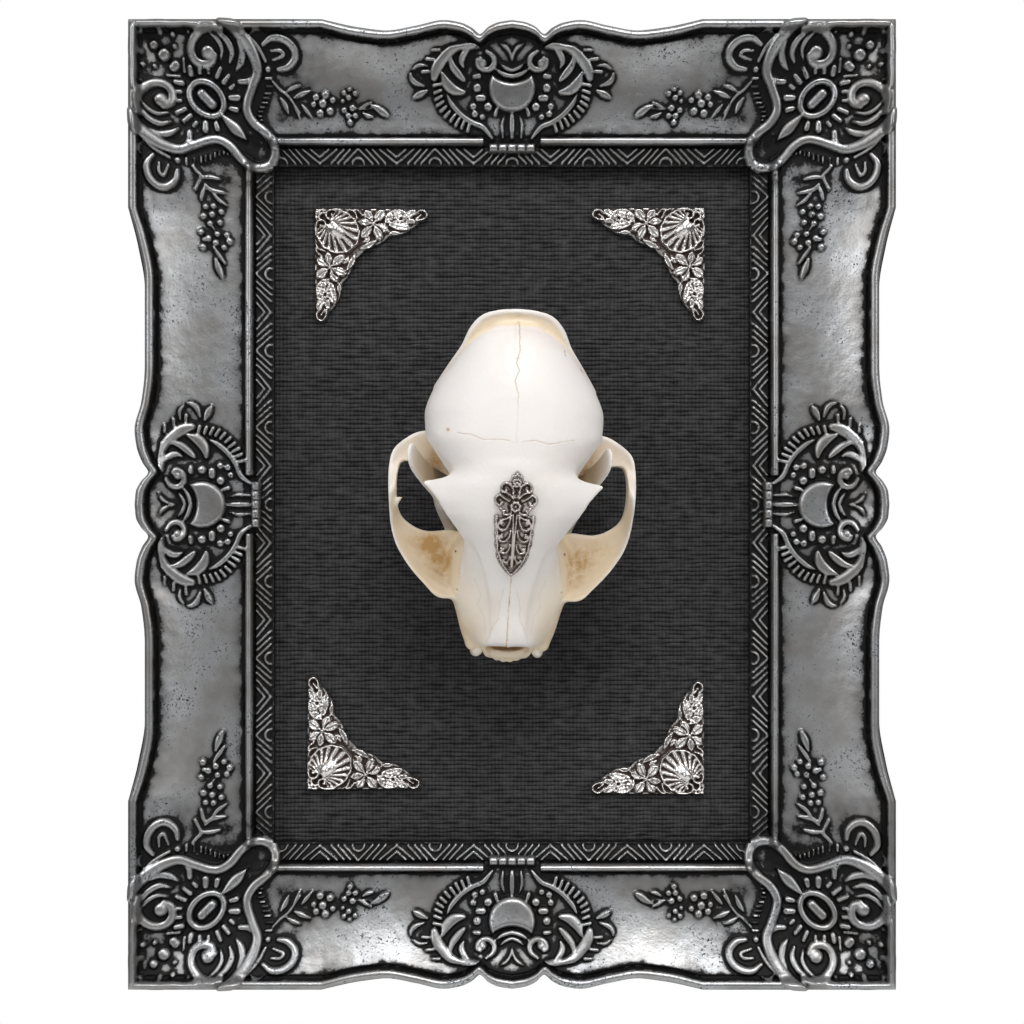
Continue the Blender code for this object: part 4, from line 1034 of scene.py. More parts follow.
@dataclass
class OrnateFrame:
    """The four cast rails, each one piece with the ornament that lies on it."""

    size: FrameSize = FrameSize()
    short_step: float = 0.3
    long_step: float = 0.37
    row_step: float = 0.31
    mitre_overlap: float = 0.15
    pocket_half: float = 27.0
    pocket_start: float = 9.15
    pocket_end: float = 22.15
    pocket_depth: float = 2.4
    wall: Line = ((0.7, 0.0), (0.5, 1.0), (0.5, 14.6), (0.2, 16.6), (0.05, 17.6))

    def build(self, raster: OrnamentRaster, silver: Material) -> None:
        """Builds the four rails, each with the ornament that lies on it."""
        for side in Side:
            self._rail(side, raster, silver)

    def _place(self, side: Side, along: Array, inset: Array, height: Array) -> Array:
        """Turns a rail's own measures into places in mm.

        Args:
            side: which rail.
            along: distance from the rail's middle, clockwise as seen from the front.
            inset: distance from the frame's outer box.
            height: distance in front of the wall.

        Returns:
            The places, with the axes last.
        """
        half_x, half_z = self.size.width / 2, self.size.height / 2
        x, z = ((along, half_z - inset), (half_x - inset, -along), (-along, inset - half_z),
                (inset - half_x, along))[side.value]
        return np.stack([x, -height, z], axis=-1)

    def _stations(self, side: Side) -> Array:
        """Gives places along the outer box of a rail, with two on the hanger pocket's ends.

        Args:
            side: which rail.

        Returns:
            Distances from the rail's middle.
        """
        half = self.size.length(side) / 2
        count = int(half / (self.long_step if side.upright else self.short_step))
        right = np.linspace(0, half, count + 1)
        if side is Side.TOP:
            right[np.argmin(np.abs(right - self.pocket_half))] = self.pocket_half
        return np.concatenate([-right[:0:-1], right])

    def _rail(self, side: Side, raster: OrnamentRaster, silver: Material) -> None:
        """Builds one rail from rows that run all round its section.

        Args:
            side: which rail.
            raster: the ornament.
            silver: its finish.
        """
        size, half, s = self.size, self.size.length(side) / 2, self._stations(side)
        edge, level = size.edge(side.upright, s), np.zeros_like(s)
        rows = [(edge + offset, height + level, 0.35 + level) for offset, height in self.wall]
        steps = np.arange(0.55, size.rail - 0.2, self.row_step)
        for t in (0, 0.12, 0.32, *steps, size.rail - 0.12, size.rail):
            inset = edge + t * (size.rail - edge) / size.rail
            from_end = half - np.abs(self._along(s, half, inset))
            rows.append((inset, *raster.read(side.upright, inset, from_end)))
        seat = size.rail - size.rebate
        # Painted shade: the lip's inner face and underside carry a cavity value of 0.9, fading to
        # 0.45 down the rebate, so the finish paints them dark.
        for inset, height, mask in ((size.rail, 7.2, 0.9), (size.rail, size.lip_underside, 0.9),
                                    (seat, size.lip_underside, 0.9), (seat, 0.0, 0.45)):
            rows.append((inset + level, height + level, mask + level))
        points = [self._place(side, self._along(s, half, inset), inset, height)
                  for inset, height, _ in rows]
        masks = [mask for *_, mask in rows]
        pocketed = side is Side.TOP
        for inset in (self.pocket_end, self.pocket_start) if pocketed else ():
            outer = np.clip((np.abs(s) - self.pocket_half) / (half - self.pocket_half), 0, 1)
            along = np.sign(s) * (np.abs(s) - outer * inset)
            points.append(self._place(side, along, inset + level, level))
            masks.append(0.4 + level)
        many, count = len(points), len(s)
        faces = grid_faces(many + 1, count) % (many * count)
        extra_points, extra_faces = np.zeros((0, 3)), faces[:0]
        if pocketed:
            strip = np.arange(len(faces)) // (count - 1) == many - 2
            inside = np.tile(np.abs(s[1:] + s[:-1]) / 2 < self.pocket_half, many)
            faces = faces[~(strip & inside)]
            extra_points, extra_faces = self._pocket(side, s, many)
        groups = [np.concatenate([faces, extra_faces]), self._caps(np.stack(points), count)]
        masks.append(np.full(len(extra_points), 0.8))
        name = side.name.lower()
        nodes = [f"{kind}_{name}" for kind in ("rail", "beads", "medallion", "garland")]
        nodes += [f"{kind}_{CORNERS[side.value]}" for kind in ("boss", "scroll")]
        add_piece(f"cast_rail_{name}", np.concatenate([*points, extra_points]), groups, silver,
                  {"cavity": np.concatenate(masks)}, nodes, 70)

    def _along(self, s: Array, half: float, inset: Array) -> Array:
        """Maps stations on the outer box to a row nearer the opening.

        Args:
            s: the stations.
            half: half the rail's length.
            inset: the row's distance from the outer box.

        Returns:
            Distances along the rail, whose ends pass the mitre by a hair.
        """
        along = s * (1 - inset / half)
        over = np.minimum(half - np.abs(along), self.mitre_overlap)
        ends = np.zeros_like(s)
        ends[0], ends[-1] = -1, 1
        return along + ends * over

    def _pocket(self, side: Side, s: Array, many: int) -> tuple[Array, Array]:
        """Builds the hanger pocket's walls and floor.

        Args:
            side: which rail.
            s: the rail's stations.
            many: how many rows the rail has, the last two on the pocket's edges.

        Returns:
            The new vertices, and faces that also use the rail's own.
        """
        inside = np.flatnonzero(np.abs(s) <= self.pocket_half + 1e-6)
        wide, first_new = len(inside), many * len(s)
        edges = [(many - back) * len(s) + inside for back in (2, 1)]
        floors = [first_new + k * wide + np.arange(wide) for k in (0, 1)]
        points = [self._place(side, s[inside], np.full(wide, inset),
                              np.full(wide, self.pocket_depth))
                  for inset in (self.pocket_end, self.pocket_start)]
        strips = [(edges[0], floors[0]), (floors[0], floors[1]), (floors[1], edges[1])]
        faces = [np.stack([p[:-1], p[1:], q[1:], q[:-1]], axis=1) for p, q in strips]
        for end, turn in ((0, 1), (-1, -1)):
            wall = np.array([edges[0][end], floors[0][end], floors[1][end], edges[1][end]])
            faces.append(wall[None, ::turn])
        return np.concatenate(points), np.concatenate(faces)

    def _caps(self, points: Array, count: int) -> Array:
        """Closes both mitred ends of a rail.

        Args:
            points: the rail's vertices as (row, station, axis).
            count: how many stations there are.

        Returns:
            Triangles of vertex numbers.
        """
        caps = []
        for station, wanted in ((0, 1), (count - 1, -1)):
            ring = points[:, station]
            flat = np.stack([ring[:, 1], ring[:, 0]], axis=1)
            triangles = np.array(tessellate_polygon([[Vector(p) for p in ring]]), int)
            whole = np.cross(flat, np.roll(flat, -1, axis=0)).sum()
            a, b, c = (flat[triangles[:, k]] for k in range(3))
            pieces = np.cross(b - a, c - a).sum()
            if whole * pieces * wanted < 0:
                triangles = triangles[:, ::-1]
            caps.append(triangles * count + station)
        return np.concatenate(caps)


# ---------------------------------------------------------------- the skull


def meet(first: Array, second: Array, rounding: float) -> Array:
    """Joins two signed distances into one body with a rounded inner corner."""
    share = np.clip(rounding - np.abs(first - second), 0, None)
    return np.minimum(first, second) - share**2 / (4 * rounding)


def trim(first: Array, second: Array, rounding: float) -> Array:
    """Keeps what two signed distances have in common, with a rounded outer edge."""
    return -meet(-first, -second, rounding)


def surface_of(values: Array, start: Sequence[float], step: float) -> tuple[Array, Array]:
    """Nets the surface where a field changes sign.

    Args:
        values: the field over a regular grid, negative inside the body.
        start: place of the grid's first cell.
        step: distance between cells.

    Returns:
        Vertices and four-sided faces.
    """
    inside, last = values < 0, np.array(values.shape) - 1
    corners = [(i, j, k) for i in (0, 1) for j in (0, 1) for k in (0, 1)]
    parts = [inside[tuple(slice(a, a + b) for a, b in zip(corner, last))] for corner in corners]
    active = np.logical_or.reduce(parts) & ~np.logical_and.reduce(parts)
    cells = np.argwhere(active)
    index = np.full(active.shape, -1, np.int64)
    index[active] = np.arange(len(cells))
    at = [values[tuple((cells + corner).T)] for corner in corners]
    total, count = np.zeros((len(cells), 3)), np.zeros(len(cells))
    for p, first in enumerate(corners):
        for q in range(p + 1, 8):
            way = np.subtract(corners[q], first)
            if np.abs(way).sum() == 1:
                crossed = (at[p] < 0) != (at[q] < 0)
                f = np.where(crossed, at[p] / np.where(crossed, at[p] - at[q], 1), 0)
                total += (first + f[:, None] * way) * crossed[:, None]
                count += crossed
    points = np.array(start) + step * (cells + total / count[:, None])
    faces = []
    for axis in range(3):
        moved, nets = np.moveaxis(inside, axis, 0), np.moveaxis(index, axis, 0)
        change = moved[:-1, 1:-1, 1:-1] != moved[1:, 1:-1, 1:-1]
        i, j, k = (np.argwhere(change) + (0, 1, 1)).T
        quad = np.stack([nets[i, j - 1, k - 1], nets[i, j, k - 1], nets[i, j, k],
                         nets[i, j - 1, k]], axis=1)
        flip = moved[i, j, k] == (axis == 1)
        faces.append(np.where(flip[:, None], quad, quad[:, ::-1]))
    return points, np.concatenate(faces)


@dataclass(frozen=True)
class SkullPose:
    """Where the skull lies: its middle on the card, its turn and the head's roll."""

    length: float = 85.0
    centre: tuple[float, float, float] = (-0.7, -5.3, 4.0)
    turn: float = 1.6
    roll: float = 1.5

    def place(self, points: Array, rolled: bool = True) -> Array:
        """Turns skull places into places in front of the wall.

        Args:
            points: places as (across, along from the crest, height above the card).
            rolled: whether they belong to the head and not to the lower jaw.

        Returns:
            The same places as (x, y, z).
        """
        own = np.stack([points[:, 0], -points[:, 2], self.length / 2 - points[:, 1]], axis=1)
        turned = Matrix.Rotation(math.radians(self.turn), 3, "Y")
        if rolled:
            turned = turned @ Matrix.Rotation(math.radians(self.roll), 3, "Z")
        return own @ np.array(turned).T + np.array(self.centre)


@dataclass
class TopSurface:
    """The height of the bone seen from above."""

    x: Array
    u: Array
    heights: Array

    def at(self, x: Array, u: Array) -> Array:
        """Gives the height at places across and along the skull."""
        return sample(self.heights, (self.x, self.u), x, u)

    def softened(self, reach: int) -> TopSurface:
        """Gives the same surface with its detail blurred."""
        return TopSurface(self.x, self.u, blur(self.heights, reach))


def refined(points: Array, faces: Array, chosen: Array, cuts: int) -> tuple[Array, list[Array]]:
    """Cuts the edges between chosen vertices into shorter ones.

    Args:
        points: vertices.
        faces: four-sided faces.
        chosen: whether each vertex is chosen.
        cuts: how many cuts each edge gets.

    Returns:
        Vertices, and the four- and three-sided faces.
    """
    mesh = bpy.data.meshes.new("refined")
    mesh.from_pydata(points.tolist(), [], faces.tolist())
    bm = bmesh.new()
    bm.from_mesh(mesh)
    bpy.data.meshes.remove(mesh)
    bm.verts.ensure_lookup_table()
    edges = [edge for edge in bm.edges
             if chosen[edge.verts[0].index] and chosen[edge.verts[1].index]]
    bmesh.ops.subdivide_edges(bm, edges=edges, cuts=cuts, use_grid_fill=True)
    bmesh.ops.triangulate(bm, faces=[face for face in bm.faces if len(face.verts) > 4])
    bm.verts.index_update()
    places = np.array([vert.co[:] for vert in bm.verts])
    kinds = [np.array([[vert.index for vert in face.verts] for face in bm.faces
                       if len(face.verts) == sides]).reshape(-1, sides) for sides in (4, 3)]
    bm.free()
    return places, kinds


@dataclass
class Sculpture:
    """A body over a grid of cells for one half of the head, mirrored on its middle plane."""

    low: tuple[float, float, float]
    high: tuple[float, float, float]
    step: float

    def __post_init__(self) -> None:
        """Lays out the grid with its first cell half a step from the middle plane."""
        starts = (self.low[0] + self.step / 2, self.low[1], self.low[2])
        axes = [np.arange(a, b, self.step) for a, b in zip(starts, self.high)]
        self.x = axes[0][:, None, None]
        self.u = axes[1][None, :, None]
        self.h = axes[2][None, None, :]
        self.axes = axes
        self.field = np.full(tuple(len(axis) for axis in axes), 9.0)

    def rod(self, rounding: float, line: Line, squash: Sequence[float] = (1, 1, 1),
            cut: bool = False) -> None:
        """Adds a rod of changing radius or a ball, or cuts it away.

        Args:
            rounding: how softly it joins what is there.
            line: its (x, u, h, radius) points.
            squash: how much thinner it is along each axis.
            cut: whether it is cut away.
        """
        part = window(self.axes, line, max(point[3] for point in line) + 3.0 + rounding)
        x, u, h = self.x[part[0]], self.u[:, part[1]], self.h[:, :, part[2]]
        nearest = np.full((x.shape[0], u.shape[1], h.shape[2]), np.inf)
        for a, b, c, radius in spline(line, 0.7):
            away = np.sqrt(((x - a) / squash[0]) ** 2 + ((u - b) / squash[1]) ** 2
                           + ((h - c) / squash[2]) ** 2)
            nearest = np.minimum(nearest, (away - radius) * min(squash))
        before = self.field[part]
        self.field[part] = trim(before, -nearest, rounding) if cut else (
            meet(before, nearest, rounding))

    def net(self, values: Array, first_x: float, lines: Sequence[Line] = ()
            ) -> tuple[Array, list[Array], Array]:
        """Nets a field over this grid, finer along lines on its upper side.

        Args:
            values: the field.
            first_x: place of its first cell across the head.
            lines: (x, u) lines.

        Returns:
            Vertices as (x, u, h), faces, and each vertex's hollowness.
        """
        start = (first_x, self.axes[1][0], self.axes[2][0])
        points, faces = surface_of(values, start, self.step)
        kinds = [faces]
        if lines:
            away = np.min([distance(line, points[:, 0], points[:, 1]) for line in lines],
                          axis=0)
            near = (away < 1.6 * self.step) & (points[:, 2] > UPPER_SIDE)
            points, kinds = refined(points, faces, near, 3)
        bend = blur(values, 4) - values
        cell = np.clip(np.round((points - np.array(start)) / self.step).astype(int), 0,
                       np.array(values.shape) - 1)
        return points, kinds, -bend[tuple(cell.T)]

    def top(self, values: Array, first_x: float) -> TopSurface:
        """Reads how high the bone is over each place of a field on this grid.

        Args:
            values: the field.
            first_x: place of its first cell across the skull.

        Returns:
            The surface, which is read at places in mm.
        """
        inside = values < 0
        last = inside.shape[2] - 1 - inside[:, :, ::-1].argmax(axis=2)
        height = np.where(inside.any(axis=2), self.axes[2][last], 0.0)
        x = first_x + self.step * np.arange(values.shape[0])
        return TopSurface(x, self.axes[1], height + 0.5 * self.step)


UPPER_SIDE = 26.0
TOP_LINE = tenths(2, 0, 362, 24, 364, 40, 388, 56, 422, 120, 466, 220, 494, 320, 502, 420, 496,
    500, 472, 580, 428, 640, 388, 720, 344, 802, 312, 810, 296, 815, 252, 824, 238, 850, 218)


@dataclass
class Cranium:
    """Brain case, brows, snout and cheek arches as one bone.

    Its lines are (distance from the crest at the back of the head, value) in mm. The levels are
    heights along an outer rim, an inner rim and an underside. Sutures and cracks are (across,
    along), and spots are (across, along, half width, half length, strength). A swelling or a
    hollow is its rounding, a rod's points as (across, along, height, radius), and, where it
    isn't round, its size along each axis.
    """

    step: float = 0.42
    roof_half: Line = tenths(2, 0, 44, 26, 46, 44, 56, 60, 84, 90, 122, 140, 162, 187, 193, 253,
        215, 300, 212, 350, 180, 380, 155, 400, 147, 452, 146, 486, 142, 528, 120, 567, 94, 600,
        78, 650, 62, 720, 48, 770, 46, 806, 54, 820, 54, 850, 36)
    roof_edge: Line = tenths(2, 0, 346, 45, 360, 94, 340, 145, 315, 187, 300, 253, 305, 350, 350,
        396, 394, 422, 410, 486, 420, 528, 404, 567, 390, 600, 380, 650, 360, 720, 329, 806, 289,
        820, 229, 850, 208)
    wall_half: Line = tenths(2, 0, 38, 45, 106, 94, 136, 145, 170, 187, 196, 253, 212, 350, 172,
        396, 134, 440, 100, 500, 90, 540, 98, 570, 112, 600, 118, 640, 122, 695, 126, 755, 109,
        802, 80, 824, 60, 850, 44)
    wall_level: Line = tenths(2, 0, 336, 45, 290, 94, 260, 145, 235, 253, 226, 350, 240, 440, 290,
        540, 290, 600, 294, 640, 294, 695, 282, 755, 262, 806, 234, 850, 194)
    floor_half: Line = tenths(2, 0, 34, 45, 85, 94, 124, 145, 152, 253, 162, 310, 140, 396, 96,
        450, 80, 500, 90, 550, 126, 590, 148, 660, 149, 695, 138, 720, 126, 755, 117, 790, 104,
        810, 82, 824, 62, 850, 50)
    floor_level: Line = tenths(2, 0, 328, 45, 220, 94, 160, 145, 130, 253, 124, 396, 166, 500, 194,
        660, 210, 755, 204, 810, 196, 850, 184)
    base_line: Line = tenths(2, 0, 318, 45, 160, 94, 116, 145, 104, 253, 106, 396, 146, 500, 166,
        600, 176, 780, 174, 850, 168)
    brow_half: Line = tenths(2, 340, 60, 380, 95, 396, 136, 405, 164, 410, 182, 413, 202, 419, 214,
        430, 205, 454, 183, 485, 163, 528, 129.5, 555, 108, 585, 80, 660, 50)
    brow_plain: Line = tenths(2, 340, 155, 390, 154, 430, 170, 460, 172, 485, 163, 528, 129.5, 567,
        106, 598, 86, 660, 60)
    brow_level: Line = tenths(2, 340, 380, 380, 394, 400, 414, 420, 428, 450, 432, 485, 427, 528,
        410, 560, 384, 600, 340, 660, 280)
    arch_outer: Line = tenths(2, 286, 204, 298, 246, 335, 289, 385, 301, 457, 298, 522, 292, 574,
        276, 624, 244, 668, 204, 696, 172, 698, 120)
    arch_inner: Line = tenths(2, 410, 140, 380, 194, 366, 260, 388, 278, 457, 280, 500, 268, 526,
        236, 536, 204, 534, 174, 532, 146, 540, 80)
    arch_levels: Line = tenths(11, 200, 206, 264, 282, 324, 300, 290, 282, 276, 276, 270, 192,
        194, 240, 268, 314, 282, 244, 226, 222, 224, 230, 170, 170, 182, 204, 220, 210, 204, 202,
        202, 204, 204)
    crest_outer: Line = tenths(2, 1, 2, 5, 42, 14, 83, 44, 112, 92, 134, 142, 166, 184, 192)
    crest_inner: Line = tenths(2, 62, 2, 70, 41, 92, 76, 122, 104, 158, 132, 186, 160, 200, 184)
    crest_levels: Line = tenths(7, 372, 370, 362, 346, 322, 294, 272, 366, 363, 354, 336, 314,
        289, 270, 290, 290, 270, 250, 230, 220, 220)
    sutures: tuple[Line, ...] = (tenths(2, -136, 302, -106, 305, -73, 318, -32, 315, 0, 323, 46,
        316, 76, 324, 110, 317, 138, 312), tenths(2, 3, 30, 5, 110, -3.5, 134, 3.5, 150, -5, 180,
        3, 210, 1, 320), tenths(2, -10, 652, -24, 700, -26, 742, -34, 750, -53, 802), tenths(2, 8,
        652, 24, 700, 26, 746, 34, 756, 51, 806), tenths(2, -86, 645, -70, 685, -76, 710, -59, 740,
        -56, 780), tenths(2, 86, 645, 70, 685, 76, 710, 59, 740, 54, 780))
    nasal_half: Line = tenths(2, 600, 4, 660, 14, 700, 24, 750, 27, 780, 42, 810, 52, 816, -10)
    suture_depths: tuple[float, ...] = (0.42, 0.75, 0.28, 0.28, 0.18, 0.18)
    cracks: tuple[Line, ...] = (tenths(2, 1, 642, -2, 720, -4, 810), tenths(2, -159, 293, -159,
        295), tenths(2, 154, 136, 160, 146), tenths(2, 112, 98, 115, 110))
    crack_widths: tuple[float, ...] = (0.14, 0.32, 0.12, 0.14)
    spots: Line = tenths(5, -190, 568, 36, 28, 10, -166, 614, 34, 34, 11, -136, 654, 22, 26, 6,
        -150, 605, 44, 60, 5, 145, 630, 36, 55, 8.5, 175, 600, 35, 40, 7, -215, 560, 40, 22, 4,
        205, 570, 40, 22, 4.5, -185, 365, 25, 40, 6, 185, 365, 25, 40, 5, -106, 690, 26, 40, 3.4,
        108, 700, 26, 44, 3, -96, 770, 22, 30, 3.6, 94, 770, 20, 30, 3)
    spur: Line = tenths(4, -286, 476, 284, 9, -278, 464, 292, 7, -269, 456, 296, 3.5)
    swellings: tuple[tuple, ...] = ((0.9, tenths(4, 2, 5, 371, 5, 42, 7, 369, 5, 79, 20, 362, 5,
        106, 48, 348, 5, 129, 94, 324, 5, 163, 144, 296, 5, 190, 186, 273, 4.5)), (0.8, tenths(4,
        2, 30, 376, 2, 2, 44, 402, 2.5, 2, 60, 430, 3, 2, 120, 465, 2.5)), (1.2, tenths(4, 116,
        624, 302, 7.5)), (1.2, tenths(4, 120, 676, 282, 7.5)), (1.2, tenths(4, 124, 584, 254,
        7.5)), (1.6, tenths(4, 92, 165, 122, 40, 94, 255, 126, 42), (1.1, 1, 1.05)), (1.2,
        tenths(4, 56, 36, 170, 19, 48, 56, 146, 18), (1.1, 1.2, 1)), (1.8, tenths(4, 84, 806, 212,
        20, 94, 758, 240, 20, 98, 712, 262, 14)), (0.12, tenths(4, 8, 844.552, 196, 10)), (0.12,
        tenths(4, 24, 840.968, 196, 10)), (0.12, tenths(4, 40, 833.8, 196, 10)), (0.8, tenths(4,
        53, 804, 276, 7, 56, 816, 246, 7, 49, 832, 226, 7)), (0.4, tenths(4, 2, 795, 306, 5, 2,
        813, 300, 4)), (1.5, tenths(4, 144, 640, 204, 15, 119, 700, 202, 14, 103, 760, 196, 13)))
    hollows: tuple[tuple, ...] = ((0.35, tenths(4, 2, 640, 276, 20, 2, 740, 266, 30, 2, 790, 258,
        36, 2, 812, 256, 35), (1.25, 0.4, 1)), (0.3, tenths(4, 2, 824, 274, 34, 2, 832, 310, 40),
        (1.3, 0.42, 1)), (0.15, tenths(4, 124, 624, 312, 4, 118, 624, 290, 3.5)), (0.15, tenths(4,
        128, 676, 292, 4, 122, 676, 270, 3.5)), (0.15, tenths(4, 132, 584, 260, 4, 126, 584, 238,
        3.5)), (0.8, tenths(4, 2, -30, 208, 46, 2, 80, 216, 42), (1.15, 1, 0.9)), (0.3, tenths(4,
        154, 725, 234, 9, 130, 700, 236, 9), (0.8, 1, 1.2)), (0.2, tenths(4, 120, 562, 280, 5.5,
        80, 570, 276, 6)), (0.4, tenths(4, 156, 210, 144, 13, 110, 210, 140, 14)), (0.8, tenths(4,
        2, 410, 154, 26, 2, 500, 172, 24)), (0.6, tenths(4, 52, 440, 172, 14, 42, 380, 166, 12)))

    def build(self, pose: SkullPose, bone: Material) -> TopSurface:
        """Builds the bone.

        Args:
            pose: where the skull lies.
            bone: its finish.

        Returns:
            Its surface as seen from above.
        """
        body = Sculpture((0, -2.6, 5.6), (31.5, 87.4, 52.2), self.step)
        self._sections(body)
        self._brows(body)
        self._band(body, (self.crest_outer, self.crest_inner), self.crest_levels, 0.8)
        self._band(body, (self.arch_outer, self.arch_inner), self.arch_levels, 1.2)
        for row in self.swellings:
            body.rod(*row)
        for row in self.hollows:
            body.rod(*row, cut=True)
        whole = self._uneven(body)
        first_x = -body.axes[0][-1]
        points, kinds, hollow = body.net(whole, first_x, self.sutures + self.cracks)
        top = body.top(whole, first_x)
        masks = self._stains(points, hollow, top.softened(9))
        points[:, 2] -= 0.16 * masks["suture"]
        add_piece("skull_bone", pose.place(points), kinds, bone, masks,
                  ("cranium", "cheek_arch_left", "cheek_arch_right"))
        return top.softened(4)

    def _sections(self, body: Sculpture) -> None:
        """Fills the body from sections that are star-shaped about the head's middle line.

        Args:
            body: what is filled.
        """
        u = body.axes[1]
        top, roof, edge, base, wall, level, foot, foot_level = (curve(line, u) for line in (
            TOP_LINE, self.roof_half, self.roof_edge, self.base_line, self.wall_half,
            self.wall_level, self.floor_half, self.floor_level))
        middle = (top + base) / 2 + 0.5
        turns = [math.radians(degrees) for degrees in (22, 44, 66, 88)]
        across = [0 * u, *(roof * math.sin(turn) for turn in turns), wall, foot, 0.72 * foot,
                  0 * u]
        height = [top, *(edge + (top - edge) * math.cos(turn) for turn in turns), level,
                  foot_level, base, base + 0.4]
        angle = np.arctan2(np.stack(across), np.stack(height) - middle)
        reach = np.hypot(np.stack(across), np.stack(height) - middle)
        fine = np.linspace(0, np.pi, 240)
        table = np.empty((len(u), len(fine)))
        for k in range(len(u)):
            places = np.maximum.accumulate(angle[:, k] + 1e-4 * np.arange(len(angle)))
            places[-1] = max(places[-1], np.pi)
            table[k] = curve(tuple(zip(places, reach[:, k])), fine)
        table = np.clip(table, 0.6, None)
        lean = np.gradient(table, fine, axis=1)
        away_h = body.h - middle[None, :, None]
        turn = np.arctan2(body.x, away_h) / (np.pi / (len(fine) - 1))
        cell = np.clip(turn.astype(int), 0, len(fine) - 2)
        row = np.arange(len(u))[None, :, None]
        edge_at = table[row, cell] * (1 - turn + cell) + table[row, cell + 1] * (turn - cell)
        slope = np.sqrt(1 + (lean[row, cell] / np.maximum(edge_at, 1)) ** 2)
        solid = (np.hypot(body.x, away_h) - edge_at) / slope
        solid = trim(solid, -body.u + 0.1 + 0 * body.x, 1.0)
        body.field = trim(solid, body.u - 84.4 + 0 * body.x, 0.8)

    def _brows(self, body: Sculpture) -> None:
        """Adds the sharp brow edges with their spurs behind the eyes.

        Args:
            body: what they are added to.
        """
        u = body.axes[1]
        half, level, top, plain = (curve(line, u) for line in (
            self.brow_half, self.brow_level, TOP_LINE, self.brow_plain))
        slope = np.sqrt(1 + np.gradient(half, u) ** 2)
        half = half + 0.1 * np.sin(4.1 * u) * np.sin(1.3 * u) * (u > 43)
        side = (body.x - half[None, :, None]) / slope[None, :, None]
        share = np.clip(body.x / plain[None, :, None], 0, 1.2)
        surface = top[None, :, None] - 0.2 - (top - level)[None, :, None] * share**2.3
        plate = trim(side, body.h - surface, 0.3)
        for limit, rounding in ((surface - 1.5 - body.h, 0.5), (37.0 - body.u + 0 * body.x, 2.0),
                                (body.u - 62.0 + 0 * body.x, 3.0)):
            plate = trim(plate, limit, rounding)
        body.field = meet(body.field, plate, 1.8)

    @staticmethod
    def _band(body: Sculpture, rims: tuple[Line, Line], levels: Line, rounding: float) -> None:
        """Adds a band of bone between two rims.

        Args:
            body: what it is added to.
            rims: its outer and inner rim as (along, across) points.
            levels: heights along the outer rim, the inner rim and the underside.
            rounding: how softly it joins the body.
        """
        rows = np.linspace(0, 1, 120)
        outer, inner = (np.stack([np.interp(rows, np.linspace(0, 1, len(line)), line[:, k])
                                  for k in (1, 0)], axis=1)
                        for line in (spline(rim, 0.6) for rim in rims))
        at = rows * (len(levels[0]) - 1)
        tops, inner_tops, feet = (curve(tuple(enumerate(values)), at) for values in levels)
        plan_x, plan_u = np.meshgrid(body.axes[0], body.axes[1], indexing="ij")
        plan = distance(np.concatenate([outer, inner[::-1]]), plan_x, plan_u, True)
        nearest, top, foot = (np.full(plan.shape, level) for level in (np.inf, 20.0, 17.0))
        for k in range(len(rows)):
            for share in np.linspace(0, 1, 9):
                x, u = outer[k] * (1 - share) + inner[k] * share
                away = np.hypot(plan_x - x, plan_u - u)
                closer = away < nearest
                nearest[closer], foot[closer] = away[closer], feet[k]
                top[closer] = inner_tops[k] + (tops[k] - inner_tops[k]) * (1 - share) ** 3
        band = trim(plan[:, :, None], body.h - blur(top, 1)[:, :, None], 0.9)
        band = trim(band, blur(foot, 2)[:, :, None] - body.h, 1.2)
        body.field = meet(body.field, band, rounding)

    def _uneven(self, body: Sculpture) -> Array:
        """Mirrors the body and gives the left arch the small spur of its bone joint.

        Args:
            body: the right half.

        Returns:
            The field of both halves.
        """
        whole = np.concatenate([body.field[::-1], body.field]).astype(np.float32)
        x = np.concatenate([-body.axes[0][::-1], body.axes[0]])[:, None, None]
        spur = np.full(whole.shape, 9.0, np.float32)
        for a, b, c, radius in spline(self.spur, 0.4):
            away = np.sqrt((x - a) ** 2 + (body.u - b) ** 2 + (body.h - c) ** 2) - radius
            spur = np.minimum(spur, away)
        return meet(whole, spur, 0.5).astype(np.float32)

    def _stains(self, points: Array, hollow: Array, around: TopSurface) -> dict[str, Array]:
        """Works out where the bone gets painted warm shade and lighter painted rims, where it is
        stained brown and where a suture grooves it.

        Args:
            points: vertices as (x, u, h).
            hollow: hollowness of each vertex.
            around: the softened surface of the bone.

        Returns:
            The vertex values cavity, stain and suture.
        """
        x, u, h = points.T
        away_x, upper = np.abs(x), h > UPPER_SIDE
        wander = 0.07 * np.sin(2.3 * u + 1.3 * x) + 0.05 * np.sin(6.1 * u - 2.2 * x)
        suture, stain = np.zeros((2, len(points)))
        for line, depth in zip(self.sutures, self.suture_depths):
            away = distance(line, x + wander, u + 0.8 * wander)
            suture = np.maximum(suture, depth * bell(away, 0.13) * upper)
        suture *= 1 - 0.8 * rise(u, 17, 26) * (away_x < 1.5)
        for line, wide in zip(self.cracks, self.crack_widths):
            away = distance(line, x + 0.5 * wander, u)
            stain = np.maximum(stain, 1.15 * bell(away, wide) * upper)
        floor = rise(-h, -27.8, -24.0) * (h > 17)
        for a, b, wide, long, strength in self.spots:
            away = ((x - a) / wide) ** 2 + ((u - b) / long) ** 2
            stain = np.maximum(stain, 1.2 * strength * np.exp(-away) * floor)
        nose = (away_x < 5.4) & (h < 26.5) & (h > 18)
        nose = nose * rise(u, 76, 79) * (1 - rise(u, 81.4, 83.2))
        stain = np.maximum(stain, 0.8 * nose)
